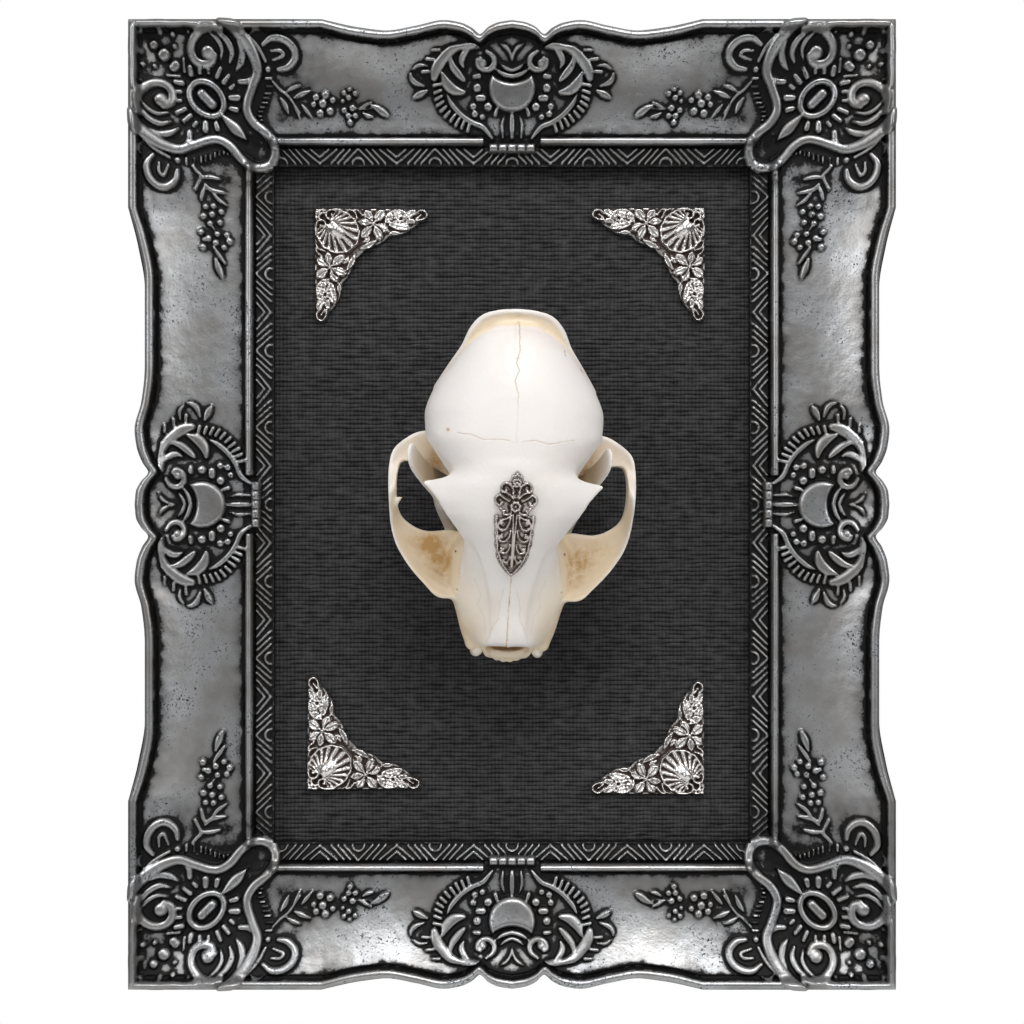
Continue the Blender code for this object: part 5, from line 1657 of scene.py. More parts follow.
        # Painted shade: the bone grows warmer below its softened top, low down, in the recesses
        # beside the brain case and in the trough before the nuchal crest, more where it is concave
        # and less where it is convex.
        sunk = rise(around.at(x, u) - h, 0.6, 8.0)
        low = rise(-h, -40.0, -27.0)
        roof, wall, nasal = (curve(line, u) for line in
                             (self.roof_half, self.wall_half, self.nasal_half))
        beside = rise(away_x - np.maximum(roof, wall), -0.5, 2.0) * rise(u, 26, 30) * (h < 35)
        band = np.maximum(rise(away_x - roof, -0.3, 0.8), rise(-u, -4.4, -3.6))
        band = band * rise(-u, -21, -15) * (h > 24)
        crest, outer, inner = (
            bell(distance([(b, a) for a, b in line], away_x, u), reach) for line, reach in
            ((self.crest_outer, 0.7), (self.arch_outer, 0.8), (self.arch_inner, 0.6)))
        off_nasal = rise(away_x - nasal, -0.1, 0.3)
        snout = rise(u, 54, 72) * off_nasal * (0.20 + 0.26 * rise(away_x, 4, 10))
        beside = beside * (0.42 + 0.28 * rise(u, 42, 50))
        cream_and_shade = 0.3 * low * off_nasal + 0.55 * sunk
        # Painted highlights: the cheek arches' rims and the nuchal crest's edge are left lighter.
        cream_and_shade = cream_and_shade + beside * (1 - 0.85 * np.maximum(outer, 0.7 * inner))
        cream_and_shade = cream_and_shade + 0.75 * band * (1 - crest) + snout + 0.4 * rise(u, 81.0, 81.6)
        cream_and_shade = cream_and_shade + 0.5 * np.clip(hollow / 0.3, -0.3, 1) * np.clip(low + band, 0.3, 1)
        values = {"cavity": cream_and_shade, "stain": stain, "suture": suture}
        return {name: np.clip(value, 0, 1) for name, value in values.items()}


@dataclass
class LowerJaw:
    """One half of the lower jaw, with its blade behind the eye and its joint.

    Its outline is (along, height) and its bend (along, across), in mm from the head's crest.
    """

    side: int
    step: float = 0.42
    swellings: tuple[tuple, ...] = ((1.2, tenths(4, 176, 318, 142, 14, 244, 322, 140, 15)), (1.2,
        tenths(4, 186, 314, 46, 11, 196, 350, 56, 13)), (1.5, tenths(4, 30, 805, 90, 24, 40, 760,
        70, 20)))
    hollows: tuple[tuple, ...] = ((1.5, tenths(4, 250, 400, 90, 26, 246, 420, 150, 30, 240, 390,
        210, 16), (0.7, 1, 1)), (0.3, tenths(4, 94, 724, 74, 6, 76, 734, 74, 5)))
    outline: Line = tenths(2, 830, 134, 834, 104, 806, 60, 760, 30, 700, 12, 610, 4, 520, 10, 440,
        30, 370, 48, 306, 32, 310, 58, 344, 88, 314, 120, 320, 152, 350, 156, 368, 190, 350, 250,
        320, 310, 346, 332, 384, 320, 420, 270, 464, 200, 510, 146, 550, 122, 680, 119, 770, 122)
    bend: Line = tenths(2, 290, 196, 340, 198, 380, 196, 460, 178, 535, 144, 600, 116, 700, 82,
        780, 49, 840, 26)

    def build(self, pose: SkullPose, bone: Material) -> None:
        """Builds the bone.

        Args:
            pose: where the skull lies.
            bone: its finish.
        """
        body = Sculpture((0, 28, -0.6), (27.5, 86.4, 35.2), self.step)
        plan_u, plan_h = np.meshgrid(body.axes[1], body.axes[2], indexing="ij")
        corners = spline(self.outline + self.outline[:1], 0.8)
        side = distance(corners, plan_u, plan_h, True)
        rear = rise(-plan_u, -58, -46)
        lean = rear * np.where(plan_h > 20, 0.36, 0.12) * (plan_h - 20)
        centre = curve(self.bend, plan_u) + lean
        slope = np.sqrt(1 + np.gradient(centre, body.step, axis=0) ** 2)
        blade = rise(plan_h, 12, 22) * rise(-plan_u, -52, -44)
        thick = 1.6 - 1.05 * blade
        away = (np.abs(body.x - centre[None]) / slope[None]) - thick[None]
        body.field = trim(side[None] + 0 * body.x, away, 1.3)
        for row in self.swellings:
            body.rod(*row)
        for row in self.hollows:
            body.rod(*row, cut=True)
        points, kinds, _ = body.net(body.field.astype(np.float32), body.axes[0][0])
        points[:, 0] *= self.side
        x, u, h = points.T
        # Painted shade and highlight: the jaw grows warmer lower down and lighter along its upper
        # rim.
        rim = bell(distance(self.outline, u, h), 0.7) * (h > 15)
        inner = rise(-np.abs(x), -23.4, -22.2) * (h > 18)
        cream_and_shade = 0.42 + 0.2 * rise(-h, -34, -12) + 0.1 * inner - 0.6 * rim
        masks = {"cavity": np.clip(cream_and_shade, 0, 1), "suture": np.zeros_like(x),
                 "stain": 0.1 * rise(-h, -29, -20) * rise(-u, -47, -40)}
        label = "left" if self.side < 0 else "right"
        add_piece(f"lower_jaw_{label}", pose.place(points, rolled=False), kinds, bone, masks,
                  (f"jaw_{label}",))


@dataclass(frozen=True)
class Teeth:
    """Cheek teeth, incisors and eye teeth as (along, across, half length, half width, height)."""

    upper: Line = tenths(5, 616, 134, 36, 15, 65, 664, 130, 26, 14, 73, 716, 116, 28, 13, 61, 760,
        104, 11, 9, 44, 834, 12, 9, 9, 42, 830, 32, 10, 10, 46)
    upper_root: float = 20.4
    lower: Line = tenths(5, 594, 115, 26, 12, 54, 636, 104, 22, 12, 50, 684, 90, 22, 11, 46, 734,
        72, 18, 10, 38, 808, 45, 20, 17, 64, 822, 14, 7, 6, 26)
    lower_root: float = 11.4
    canine: Line = tenths(4, 814, 69, 224, 12, 821, 73, 210, 17.5, 826, 77, 180, 17, 830, 80, 135,
        12.5, 827, 79, 92, 3.5)
    crown: Line = tenths(2, 0, 8.6, 2, 10, 4, 9.8, 6, 8, 7.5, 6, 8.8, 3.8, 9.7, 1.8, 10, 0.5)
    sides: int = 20

    def build(self, pose: SkullPose, enamel: Material) -> None:
        """Builds the four groups of teeth.

        Args:
            pose: where the skull lies.
            enamel: their finish.
        """
        turn = 2 * np.pi * np.arange(self.sides) / self.sides
        for name, teeth, root, way in (("upper_teeth", self.upper, self.upper_root, -1),
                                       ("lower_teeth", self.lower, self.lower_root, 1)):
            shell = Shell()
            for along, across, long, wide, height in teeth:
                for side in (-1, 1):
                    rings = [np.stack([side * across + wide * size * np.sin(turn),
                                       along + long * size * np.cos(turn),
                                       np.full_like(turn, root + way * height * share)], axis=1)
                             for share, size in self.crown]
                    mask = np.clip(1 - 1.6 * np.array(self.crown)[:, 0], 0, 1)
                    shell.loft(self._placed(np.stack(rings), pose, way < 0), mask)
            shell.build(name, enamel, "tooth")
        for label, side in (("left", -1), ("right", 1)):
            shell, line = Shell(), spline(self.canine, 0.8)
            rings = np.stack([np.stack([side * (b + 0.8 * r * np.sin(turn)),
                                        a + r * np.cos(turn), np.full_like(turn, c)], axis=1)
                              for a, b, c, r in line])
            shell.loft(self._placed(rings, pose, True), np.linspace(0.4, 0, len(line)))
            shell.build(f"eye_tooth_{label}", enamel, "tooth", f"canine_{label}")

    @staticmethod
    def _placed(rings: Array, pose: SkullPose, rolled: bool) -> Array:
        """Places rings of skull places in front of the wall."""
        return pose.place(rings.reshape(-1, 3), rolled).reshape(rings.shape)


# ---------------------------------------------------------------- stamped ornaments


class Relief:
    """A small stamped ornament, drawn as heights in mm over a flat place."""

    def __init__(self, low: tuple[float, float], high: tuple[float, float], step: float) -> None:
        """Starts an empty drawing.

        Args:
            low: its lowest x and y in mm.
            high: its highest x and y in mm.
            step: distance between cells in mm.
        """
        self.step = step
        self.axes = [np.arange(a, b, step) for a, b in zip(low, high)]
        self.x, self.y = np.meshgrid(*self.axes, indexing="ij")
        self.heights = np.zeros(self.x.shape)

    def _along(self, line: Array, part: tuple[slice, slice]) -> tuple[Array, Array]:
        """Works out each cell's distance to a line and its share of the way along it.

        Args:
            line: the line's points.
            part: the cells that are worked out.

        Returns:
            The distances, and the shares from 0 to 1.
        """
        x, y = self.x[part], self.y[part]
        away = np.hypot(x[..., None] - line[:, 0], y[..., None] - line[:, 1])
        nearest = away.argmin(axis=-1)
        return away.min(axis=-1), nearest / (len(line) - 1)

    def plate(self, outline: Line, height: float) -> None:
        """Lays the plate that carries the ornament."""
        inside = distance(outline, self.x, self.y, True)
        self.heights = np.maximum(self.heights, height * rise(-inside, -0.12, 0.1))

    def stroke(self, line: Line, base: float, top: float) -> None:
        """Draws a round wire through (x, y, half width) points.

        Args:
            line: its points.
            base: height of its edge.
            top: how far its crown stands above the edge.
        """
        fine = spline(line, self.step / 2)
        part = window(self.axes, fine, fine[:, 2].max())
        away, share = self._along(fine, part)
        half = np.interp(share, np.linspace(0, 1, len(fine)), fine[:, 2])
        crown = np.sqrt(np.clip(1 - (away / half) ** 2, 0, None))
        self.heights[part] = np.maximum(self.heights[part], (base + top * crown) * (crown > 0))

    def ball(self, x: float, y: float, radius: float, base: float, top: float) -> None:
        """Draws a half ball."""
        self.stroke(((x, y, radius), (x + 1e-3, y, radius)), base, top)

    def leaf(self, line: Line, half: float, base: float, top: float, hollow: float = 0.45,
             veins: float = 0.0, fullest: float = 0.75) -> None:
        """Draws a leaf or a petal with a rim, a middle rib and a hollow between them.

        Args:
            line: its middle rib, from the stalk to the tip.
            half: half its greatest width.
            base: height of its edge.
            top: how far its rim stands above the edge.
            hollow: how deep the hollow is, as a share of top.
            veins: distance between side veins, or 0 for none.
            fullest: below 1 it is broadest near its stalk, above 1 near its tip.
        """
        fine = spline(line, self.step / 2)
        part = window(self.axes, fine, half + 0.3)
        away, share = self._along(fine, part)
        width = half * np.sin(np.pi * np.clip(share, 0.02, 0.985) ** fullest) ** 0.7
        s = away / width
        shape = 1 - hollow + hollow * (rise(s, 0.45, 0.85) + 0.6 * bell(s, 0.14))
        if veins:
            length = np.hypot(*np.diff(fine[:, :2], axis=0).T).sum()
            phase = 2 * np.pi * (share * length - 0.5 * away) / veins
            shape = shape + 0.16 * np.cos(phase) * rise(s, 0.1, 0.4)
        value = base + top * shape * np.sqrt(np.clip(1 - np.clip(s, 0, 1) ** 8, 0, None))
        before = self.heights[part]
        around = np.where(away < width + 0.2, np.minimum(before, base), before)
        self.heights[part] = np.where(s < 1, value, around)

    def mesh(self, thinnest: float, plate: float,
             tarnish: float, shade: float) -> tuple[Array, Array, Array]:
        """Nets the ornament as a closed body over a flat back.

        Args:
            thinnest: cells lower than this are left out.
            plate: height of the plate.
            tarnish: how dark the plate is where it shows.
            shade: how dark the ornament is on even ground.

        Returns:
            Vertices as (x, y, height), four-sided faces, and each vertex's tarnish.
        """
        heights = blur(self.heights, 1)
        levels = np.arange(-2 * self.step, heights.max() + 3 * self.step, self.step)
        body = levels[None, None, :] - heights[:, :, None]
        gradient = np.gradient(heights, self.step)
        body = body / np.sqrt(1 + np.clip(gradient[0] ** 2 + gradient[1] ** 2, 0, 16))[..., None]
        flat = np.maximum(-levels[None, None, :], 0.0) + 0 * body
        inside = np.where(heights > thinnest, 0.0, thinnest - heights)[:, :, None]
        body = np.maximum(np.maximum(body, flat - 1e-3), inside * 2 - 1e-3)
        body[0], body[-1], body[:, 0], body[:, -1] = 1, 1, 1, 1
        points, faces = surface_of(body, (self.axes[0][0], self.axes[1][0], levels[0]),
                                   self.step)
        cell = [np.clip(np.round((points[:, k] - axis[0]) / self.step).astype(int), 0,
                        len(axis) - 1) for k, axis in enumerate(self.axes)]
        dark = 1.4 * (blur(heights, 6) - heights) + 3.0 * (blur(heights, 3) - heights) + shade
        bare = 1 - rise(heights, plate + 0.08, plate + 0.35)
        dark = dark * (1 - bare) + bare * (tarnish + 2.2 * (blur(heights, 3) - heights))
        mask = np.clip(dark[cell[0], cell[1]], 0, 1)
        mask = np.where(points[:, 2] < 0.5 * thinnest, 0.5, mask)
        return points, faces, mask


@dataclass
class CornerMount:
    """A stamped plate for one corner of the card: a shell, two flowers and leaves.

    Its lines are drawn for one leg, from the plate's outer corner, and mirrored for the other.
    """

    step: float = 0.13
    scale: float = 1.03
    plate_height: float = 0.75
    places: tuple[tuple[float, float], ...] = tenths(2, -504, 756, 493, 758, 492, -740, -524, -728)
    level: float = 5.62
    outline: Line = tenths(2, 0, 0, 126, 1, 170, 1, 272, 2, 284, 12, 280, 26, 262, 37, 246, 48,
        230, 60, 204, 70, 184, 70, 172, 83, 150, 94, 128, 102, 118, 112)
    shell: tuple[float, float, float] = (5.7, 5.7, 5.6)
    hinge: tuple[float, float] = (3.7, 3.7)
    flower: tuple[float, float] = (14.7, 3.9)
    petals: Line = tenths(3, 125, 5, 11.5, 172, 4, 12.5, 184, 57, 11.5, 165, 80, 11, 117, 74, 11.5,
        109, 33, 9.5)
    leaves: tuple[Line, ...] = (tenths(2, 177, 35, 196, 19, 226, 9), tenths(2, 187, 42, 212, 42,
        239, 53), tenths(2, 220, 33, 234, 16, 256, 8), tenths(2, 226, 33, 240, 33, 258, 35),
        tenths(2, 116, 99, 134, 94, 154, 80), tenths(2, 184, 12, 189, 20, 190, 32), tenths(2, 186,
        63, 199, 62, 216, 64), tenths(2, 122, 84, 132, 77, 136, 64))
    leaf_halves: tuple[float, ...] = (1.45, 1.3, 1.0, 0.6, 0.75, 0.6, 0.55, 0.5)
    wires: tuple[Line, ...] = (tenths(3, 250, 32, 3, 269, 29, 3.8, 279, 20, 4, 275, 9, 4, 262, 6,
        3.6, 250, 16, 3), tenths(3, 252, 26, 2.5, 265, 17, 2.2), tenths(3, 86, 3, 2, 100, 10, 2.8,
        107, 25, 2), tenths(3, 99, 3, 2.5, 110, 7, 3, 119, 19, 2.2), tenths(3, 69, 3.5, 2.6, 49,
        3.5, 3.4, 33, 8.5, 3.6, 30, 21, 3.6, 38, 28, 3.4, 49, 24, 2.6), tenths(3, 4, 5, 3, 26, 4,
        2.6), tenths(3, 19, 12, 2.2, 13, 24, 2))
    balls: Line = ((1.2, 1.2, 0.5), (4.4, 1.7, 0.5), (2.3, 1.0, 0.3))

    def build(self, silver: Material) -> None:
        """Builds the four corner plates.

        Args:
            silver: their finish.
        """
        relief = Relief((-0.6, -0.6), (30.2, 30.2), self.step)
        relief.plate(self.outline + tuple((b, a) for a, b in self.outline[::-1]),
                     self.plate_height)
        self._shell(relief)
        for mirrored in (False, True):
            self._leg(relief, mirrored)
        local, faces, mask = relief.mesh(0.3, self.plate_height, 0.82, 0.42)
        local *= (self.scale, self.scale, 1)
        own = np.stack([local[:, 0], -local[:, 2], -local[:, 1]], axis=1)
        for quarter, ((x, z), label) in enumerate(zip(self.places, CORNERS)):
            turn = np.array(Matrix.Rotation(math.radians(90 * quarter), 3, "Y"))
            add_piece(f"shell_corner_{label}", own @ turn.T + (x, -self.level, z), [faces],
                      silver, {"cavity": mask}, (f"card_corner_{label}",))

    def _shell(self, relief: Relief) -> None:
        """Draws the scallop shell at the plate's corner.

        Args:
            relief: what it is drawn on.
        """
        x0, y0, radius = self.shell
        dx, dy = relief.x - x0, relief.y - y0
        angle = np.arctan2(dy, dx)
        stretch = 1 + 0.12 * np.clip(np.cos(angle - np.pi / 4), 0, 1) ** 2
        lobes = 1 - 0.035 * np.abs(np.sin(5.5 * angle))
        r = np.hypot(dx, dy) / (radius * stretch * lobes)
        hx, hy = relief.x - self.hinge[0], relief.y - self.hinge[1]
        fan = np.arctan2(hy, hx) - np.pi / 4
        fan = (fan + np.pi) % (2 * np.pi) - np.pi
        ribs = (0.5 + 0.5 * np.cos(fan * 24)) ** 1.4
        lean, side = (hx + hy) / math.sqrt(2), (relief.x - relief.y) / math.sqrt(2)
        dome = 1.5 * np.exp(-(((lean - 2.2) / 2.7) ** 2 + (side / 1.9) ** 2))
        span = rise(((lean - 2.2) / 3.0) ** 2 + (side / 1.7) ** 2, 0.6, 1.3)
        rim = 0.35 * np.exp(-(((r - 0.92) / 0.06) ** 2))
        value = 1.15 + 0.5 * (1 - r**2) + dome - 0.6 * span * (1 - ribs) * (r < 0.88) + rim
        edge = rise(-r, -1.0, -0.94) * rise(-np.abs(fan), -2.05, -1.9)
        relief.heights = np.maximum(relief.heights, value * edge)

    def _leg(self, relief: Relief, mirrored: bool) -> None:
        """Draws what lies along one leg: scroll, flower and leaves.

        Args:
            relief: what it is drawn on.
            mirrored: whether it is the leg along the card's upright edge.
        """
        def own(line: Line) -> Line:
            """Gives a line as it lies on this leg."""
            return tuple((p[1], p[0], *p[2:]) for p in line) if mirrored else line

        base = self.plate_height
        for line, half in zip(self.leaves, self.leaf_halves):
            relief.leaf(own(line), half, base, 1.15, 0.6, 0.7, 0.85)
        centre = self.flower
        for x, y, half in self.petals:
            start = (0.88 * centre[0] + 0.12 * x, 0.88 * centre[1] + 0.12 * y)
            relief.leaf(own((start, (0.5 * (start[0] + x), 0.5 * (start[1] + y)), (x, y))),
                        1.02 * half, base, 1.35, 0.35, 0.0, 1.15)
        (x, y), = own((centre,))
        relief.ball(x, y, 0.62, base + 0.9, 0.7)
        for line in self.wires:
            relief.stroke(own(line), base + 0.4, 0.9)
        for x, y, radius in own(self.balls):
            relief.ball(x, y, radius, base + 0.6, 0.9)


@dataclass
class ForeheadLeaf:
    """A stamped filigree leaf that is bent to the forehead.

    Its lines are (along from the upper tip, across, half width), for one half. They are drawn
    about three times as large, and stretch brings them to mm.
    """

    step: float = 0.105
    start: float = 38.7
    shift: float = 0.6
    plate_height: float = 0.5
    length: float = 24.9
    stretch: float = 0.313
    outline: Line = tenths(2, 0, 8, 30, 22, 55, 48, 85, 60, 105, 112, 160, 122, 195, 158, 245, 160,
        300, 118, 335, 96, 350, 150, 380, 164, 430, 150, 470, 158, 510, 146, 555, 150, 600, 130,
        640, 132, 690, 108, 725, 82, 760, 52, 795, 6)
    wires: tuple[Line, ...] = (tenths(3, 160, 18, 9, 115, 40, 11, 92, 75, 13, 108, 108, 13, 148,
        112, 12, 165, 85, 10, 145, 70, 8), tenths(3, 226, 48, 9, 205, 90, 11, 182, 125, 13, 205,
        152, 13, 242, 148, 12, 262, 120, 10, 245, 102, 8), tenths(3, 316, 30, 7, 330, 60, 9, 322,
        92, 9, 304, 84, 7), tenths(3, 335, 30, 8, 388, 40, 10, 436, 62, 12, 446, 98, 13, 412, 124,
        13, 378, 106, 10, 388, 84, 8), tenths(3, 340, 32, 6, 362, 70, 9, 372, 112, 10), tenths(3,
        455, 26, 7, 500, 36, 9, 532, 66, 11, 528, 100, 12, 496, 112, 11, 482, 90, 8), tenths(3,
        556, 24, 6, 596, 32, 8, 622, 56, 10, 614, 88, 11, 588, 90, 9), tenths(3, 646, 20, 6, 676,
        28, 7, 694, 50, 8, 676, 66, 8), tenths(3, 372, 136, 8, 420, 142, 9, 466, 124, 9, 505, 132,
        9, 552, 120, 9, 600, 116, 9, 642, 98, 9, 690, 80, 9, 732, 50, 9, 790, 3, 8), tenths(3, 330,
        14, 7, 480, 8, 6, 620, 7, 6, 730, 5, 6), tenths(3, 208, 22, 6, 180, 50, 7, 164, 84, 6),
        tenths(3, 196, 14, 6, 160, 26, 7, 118, 24, 6), tenths(3, 60, 8, 8, 90, 26, 8, 122, 4, 8))
    balls: Line = tenths(3, 142, 76, 13, 236, 104, 14, 346, 138, 19, 398, 96, 14, 500, 88, 14, 594,
        74, 13, 700, 40, 10, 44, 30, 14, 16, 0, 15, 92, 0, 12)
    finial: Line = tenths(2, 28, 0, 50, 0, 80, 0)
    flower: tuple[float, float] = (27.0, 4.6)
    beads: int = 26
    vein_gap: float = 0.62

    def build(self, silver: Material, pose: SkullPose,
              surface: Callable[[Array, Array], Array]) -> None:
        """Builds the leaf.

        Args:
            silver: its finish.
            pose: where the skull lies.
            surface: gives the forehead's height at places across and along it.
        """
        k, base = self.stretch, self.plate_height
        relief = Relief((-0.6, -5.8), (self.length + 0.6, 5.8), self.step)
        half = [(k * a, k * b * 0.95) for a, b in self.outline]
        relief.plate(half + [(a, -b) for a, b in half[::-1]], base)
        veins = np.cos(2 * np.pi * (relief.x - 0.9 * np.abs(relief.y)) / self.vein_gap)
        relief.heights *= 1 + 0.24 * (0.5 + 0.5 * veins)
        edge = spline(half[7:], 0.02)
        for side in (-1, 1):
            for line in self.wires:
                own = [(k * a, side * k * b, 0.8 * k * c) for a, b, c in line]
                relief.stroke(own, base + 0.15, 0.5)
            for a, b, radius in self.balls:
                relief.ball(k * a, side * k * b, k * radius, base, 0.65)
            for spot in np.linspace(0, len(edge) - 1, self.beads).astype(int):
                a, b = edge[spot]
                relief.ball(a, side * (b - 0.2), 0.24, base + 0.15, 0.35)
        relief.leaf([(k * a, b) for a, b in self.finial], 0.5, base, 0.6)
        centre, reach = k * self.flower[0], 0.72 * k * self.flower[1]
        for petal in range(7):
            turn = 2 * math.pi * petal / 7
            relief.ball(centre + reach * math.cos(turn), reach * math.sin(turn), 0.5, 1.0, 0.45)
        relief.ball(centre, 0, 0.46, 1.15, 0.5)
        local, faces, mask = relief.mesh(0.2, base, 0.7, 0.52)
        along, across, height = local.T
        u = self.start + along
        x = self.shift * (1 - along / self.length) + across
        points = np.stack([x, u, surface(x, u) + 0.12 + height], axis=1)
        add_piece("filigree_leaf", pose.place(points), [faces], silver, {"cavity": mask},
                  ("forehead_leaf",))


# ---------------------------------------------------------------- card and back


@dataclass
class WovenCard:
    """Black card with a woven surface of fine level ribs."""

    half_width: float = 64.2
    half_height: float = 89.5
    face: float = 5.3
    thickness: float = 1.6
    textured_half: tuple[float, float] = (62.0, 88.0)
    pitch: float = 1.075
    depth: float = 0.17
    column: float = 0.86
    profile: Line = ((0.0, -1.0), (0.15, -0.3), (0.45, 0.0), (0.8, -0.12))
    seed: int = 11

    def build(self, black: Material) -> None:
        """Builds the card in its finish.

        Args:
            black: its finish.
        """
        wide, high = self.textured_half
        x = np.arange(-wide, wide + 1e-6, self.column)
        ribs = int(2 * high / self.pitch)
        phase, level = np.array(self.profile).T
        rows = (np.arange(ribs)[:, None] + phase[None, :]).ravel()
        rough = speckle((len(rows), len(x)), (0, 1), self.seed)
        sway, swell = (speckle((ribs, len(x)), (0, 1), self.seed + k).repeat(len(phase), axis=0)
                       for k in (1, 2))
        z = self.pitch * rows[:, None] - high + 0.07 * sway + 0.03 * rough
        z[0], z[-1] = -high, high
        sunk = self.depth * np.tile(level, ribs)[:, None] * (1 + 0.3 * swell) + 0.018 * rough
        sunk = np.minimum(sunk, 0.0)
        sunk[0] = sunk[-1] = sunk[:, 0] = sunk[:, -1] = 0
        front = np.stack([np.broadcast_to(x, z.shape), -(self.face + sunk), z], axis=-1)
        front, count = front.reshape(-1, 3), z.size
        index = np.arange(count).reshape(z.shape)
        border = np.concatenate([index[0, :-1], index[:-1, -1], index[-1, :0:-1],
                                 index[:0:-1, 0]])
        share = front[border][:, [0, 2]] / (wide, high)
        share /= np.abs(share).max(axis=1, keepdims=True)
        rim, back = share * (self.half_width, self.half_height), self.face - self.thickness
        around = np.arange(len(rim))
        rings = [np.stack([rim[:, 0], np.full(len(rim), -y), rim[:, 1]], axis=1)
                 for y in (self.face, back)]
        turns = [border, count + around, count + len(rim) + around]
        quads = [np.stack([p, q, np.roll(q, -1), np.roll(p, -1)], axis=1)
                 for p, q in zip(turns, turns[1:])]
        last = np.full(len(rim), count + 2 * len(rim))
        fan = np.stack([turns[2], last, np.roll(turns[2], -1)], axis=1)
        points = np.concatenate([front, *rings, [[0, -back, 0]]])
        # The cavity value is the groove depth, which the card's finish paints as shade.
        mask = np.append(np.clip(-sunk / self.depth, 0, 1), np.full(len(points) - count, 0.3))
        add_piece("woven_card", points, [np.concatenate([grid_faces(*z.shape), *quads]), fan],
                  black, {"cavity": mask}, ("backing_card",))


@dataclass
class BackFittings:
    """The board's screws and the hanger's nails, and the finishes of what stays as it is."""

    board_half: tuple[float, float] = (64.2, 89.5)
    inset: float = 6.0
    nail_x: float = 19.5
    nail_y: float = 1.5
    nail_z: float = 105.45
    nail: Line = ((0.45, 1.55), (0.25, 1.6), (0.05, 1.45), (-0.1, 1.0), (-0.16, 0.4))
    head: Line = ((1.74, 1.2), (0.75, 2.1), (0.22, 2.5), (0.12, 2.45))
    recess: Line = ((1.0, 0.12), (0.92, 0.7), (0.3, 1.0))
    sides: int = 28

    def build(self, steel: Material, board: Material) -> None:
        """Builds the small parts and dresses the board and the toothed strip.

        Args:
            steel: finish of screws, nails and strip.
            board: finish of the board.
        """
        half_x, half_z = (half - self.inset for half in self.board_half)
        spots = [(x, z) for z in (half_z, -half_z) for x in (-half_x, half_x)]
        for number, (x, z) in enumerate(spots, 1):
            self._screw(number, x, z, steel)
        turn = np.pi * (2 * np.arange(self.sides) / self.sides - 0.75)
        for label, side in (("left", -1), ("right", 1)):
            shell = Shell()
            rows = [(self.nail_y + depth, radius) for depth, radius in self.nail]
            shell.loft(self._rings(side * self.nail_x, self.nail_z, turn, rows))
            shell.build(f"nail_head_{label}", steel, "steel", f"hanger_nail_{label}")
        for node, material in (("back_board", board), ("wall_hanger", steel)):
            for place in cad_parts[node].material_slots:
                place.material = material
            LOG.info("%s: dressed", node)

    def _screw(self, number: int, x: float, z: float, steel: Material) -> None:
        """Builds a countersunk screw with a crossed recess in its head.

        Args:
            number: its number.
            x: its place across the board.
            z: its height on the board.
            steel: its finish.
        """
        turn = 2 * np.pi * np.arange(self.sides * 2) / (self.sides * 2)
        wave = np.abs(np.cos(2 * (turn + 0.35 + 0.5 * number))) ** 6
        cross = [(depth, share * (0.42 + 1.05 * wave)) for share, depth in self.recess]
        shell = Shell()
        shell.loft(self._rings(x, z, turn, (*self.head, *cross)),
                   np.array([0.2, 0.2, 0.1, 0.1, 0.2, 0.7, 0.8]))
        shell.build(f"cross_screw_{number}", steel, "steel", f"board_screw_{number}")

    @staticmethod
    def _rings(x: float, z: float, turn: Array, rows: Sequence[tuple]) -> Array:
        """Gives rings round a place on the back, from rows of distance and radius.

        Args:
            x: the place across the board.
            z: the height on the board.
            turn: the angles round it.
            rows: each ring's distance in front of the wall and its radius.

        Returns:
            The rings' vertices.
        """
        return np.stack([np.stack([x + radius * np.cos(turn), np.full_like(turn, -depth),
                                   z + radius * np.sin(turn)], axis=1)
                         for depth, radius in rows])


# ---------------------------------------------------------------- the studio


@dataclass(frozen=True)
class SoftLight:
    """A square area light that looks at the middle of the frame."""

    name: str
    place: tuple[float, float, float]
    width: float
    height: float
    power: float

    def build(self) -> None:
        """Adds the light."""
        data = bpy.data.lights.new(self.name, "AREA")
        data.shape = "RECTANGLE"
        data.size, data.size_y = self.width, self.height
        data.energy = self.power
        light = bpy.data.objects.new(self.name, data)
        light.location = self.place
        light.rotation_euler = (-Vector(self.place)).to_track_quat("-Z", "Y").to_euler()
        bpy.context.scene.collection.objects.link(light)


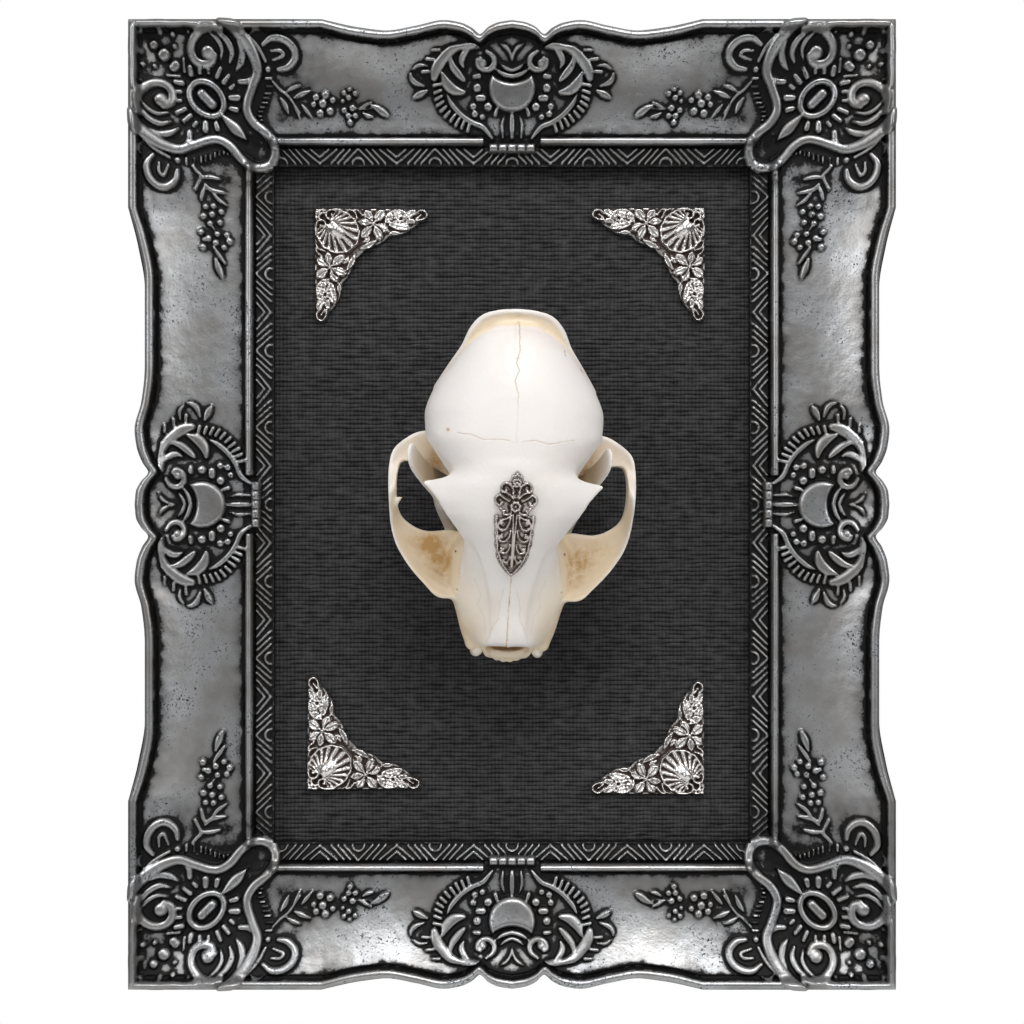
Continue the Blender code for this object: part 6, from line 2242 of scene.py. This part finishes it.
@dataclass(frozen=True)
class Studio:
    """Pale floor, plain backdrop light and the camera of the photograph."""

    camera_distance: float = 0.5686
    lens: float = 77.5
    sensor: float = 36.0
    aim_x: float = 0.0
    aim_z: float = -0.0019
    floor_level: float = -0.30
    floor_reach: float = 0.62
    backdrop: Colour = colour(1.0, 1.0, 1.0)
    room_low: Colour = colour(0.11, 0.11, 0.115)
    room_high: Colour = colour(0.55, 0.55, 0.55)
    lights: tuple[SoftLight, ...] = (
        SoftLight("key_light", (0.12, -0.85, 0.95), 0.7, 0.5, 10.5),
        SoftLight("fill_light", (-0.95, -0.8, 0.40), 0.5, 0.6, 4.2),
        SoftLight("side_light", (0.95, -0.7, 0.35), 0.4, 0.6, 2.8),
    )

    def build(self) -> None:
        """Adds the floor, the world, the lights and the camera."""
        scene = bpy.context.scene
        scene.view_settings.view_transform = "Standard"
        self._floor()
        self._room(scene)
        for light in self.lights:
            light.build()
        data = bpy.data.cameras.new("photo_camera")
        data.lens, data.sensor_width = self.lens, self.sensor
        data.clip_start, data.clip_end = 0.01, 20.0
        camera = bpy.data.objects.new("photo_camera", data)
        camera.location = (self.aim_x, -self.camera_distance, self.aim_z)
        camera.rotation_euler = (math.pi / 2, 0.0, 0.0)
        scene.collection.objects.link(camera)
        scene.camera = camera

    def _room(self, scene: bpy.types.Scene) -> None:
        """Adds a white backdrop, and a soft room light that falls from above.

        Args:
            scene: the scene that it lights.
        """
        world = bpy.data.worlds.new("studio_world")
        world.use_nodes = True
        build = Nodes(world.node_tree)
        way = build.add("SeparateXYZ", None, Vector=build.add("TexCoord").outputs["Generated"])
        room = build.mix(build.ramp(way.outputs["Z"], -0.5, 0.8), self.room_low, self.room_high)
        seen = build.add("LightPath").outputs["Is Camera Ray"]
        light = build.mix(seen, room, self.backdrop)
        shader = build.add("Background", None, Color=light, Strength=1.0)
        build.add("OutputWorld", None, Surface=shader.outputs[0])
        scene.world = world

    def _floor(self) -> None:
        """Adds the pale floor, in fine mottled matt paint."""
        reach, level = self.floor_reach, self.floor_level
        mesh = bpy.data.meshes.new("floor")
        corners = [(-reach, -reach), (reach, -reach), (reach, reach), (-reach, reach)]
        mesh.from_pydata([(x, y, level) for x, y in corners], [], [(0, 1, 2, 3)])
        bench = Bench("floor_paint")
        cloud = bench.noise(9.0, 3.0)
        base = bench.mix(cloud, colour(0.80, 0.80, 0.79), colour(0.84, 0.84, 0.83))
        mesh.materials.append(bench.finish(cloud, 0.05, 0.001, Base_Color=base, Roughness=0.8))
        floor = bpy.data.objects.new("floor", mesh)
        bpy.context.scene.collection.objects.link(floor)


def main() -> None:
    """Builds the framed skull and its studio."""
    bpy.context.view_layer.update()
    effects = Effects()
    OrnateFrame().build(OrnamentRaster(), ANTIQUE_SILVER.make(effects))
    bone, pose = BoneFinish().make(effects), SkullPose()
    forehead = Cranium().build(pose, bone)
    for side in (-1, 1):
        LowerJaw(side).build(pose, bone)
    Teeth().build(pose, ToothFinish().make(effects))
    ForeheadLeaf().build(LEAF_SILVER.make(effects), pose, forehead.at)
    CornerMount().build(STAMPED_SILVER.make(effects))
    WovenCard().build(CardFinish().make(effects))
    BackFittings().build(PLAIN_STEEL.make(effects), BoardFinish().make(effects))
    Studio().build()


if __name__ == "__main__":
    logging.basicConfig(level=logging.INFO, format="%(message)s")
    main()
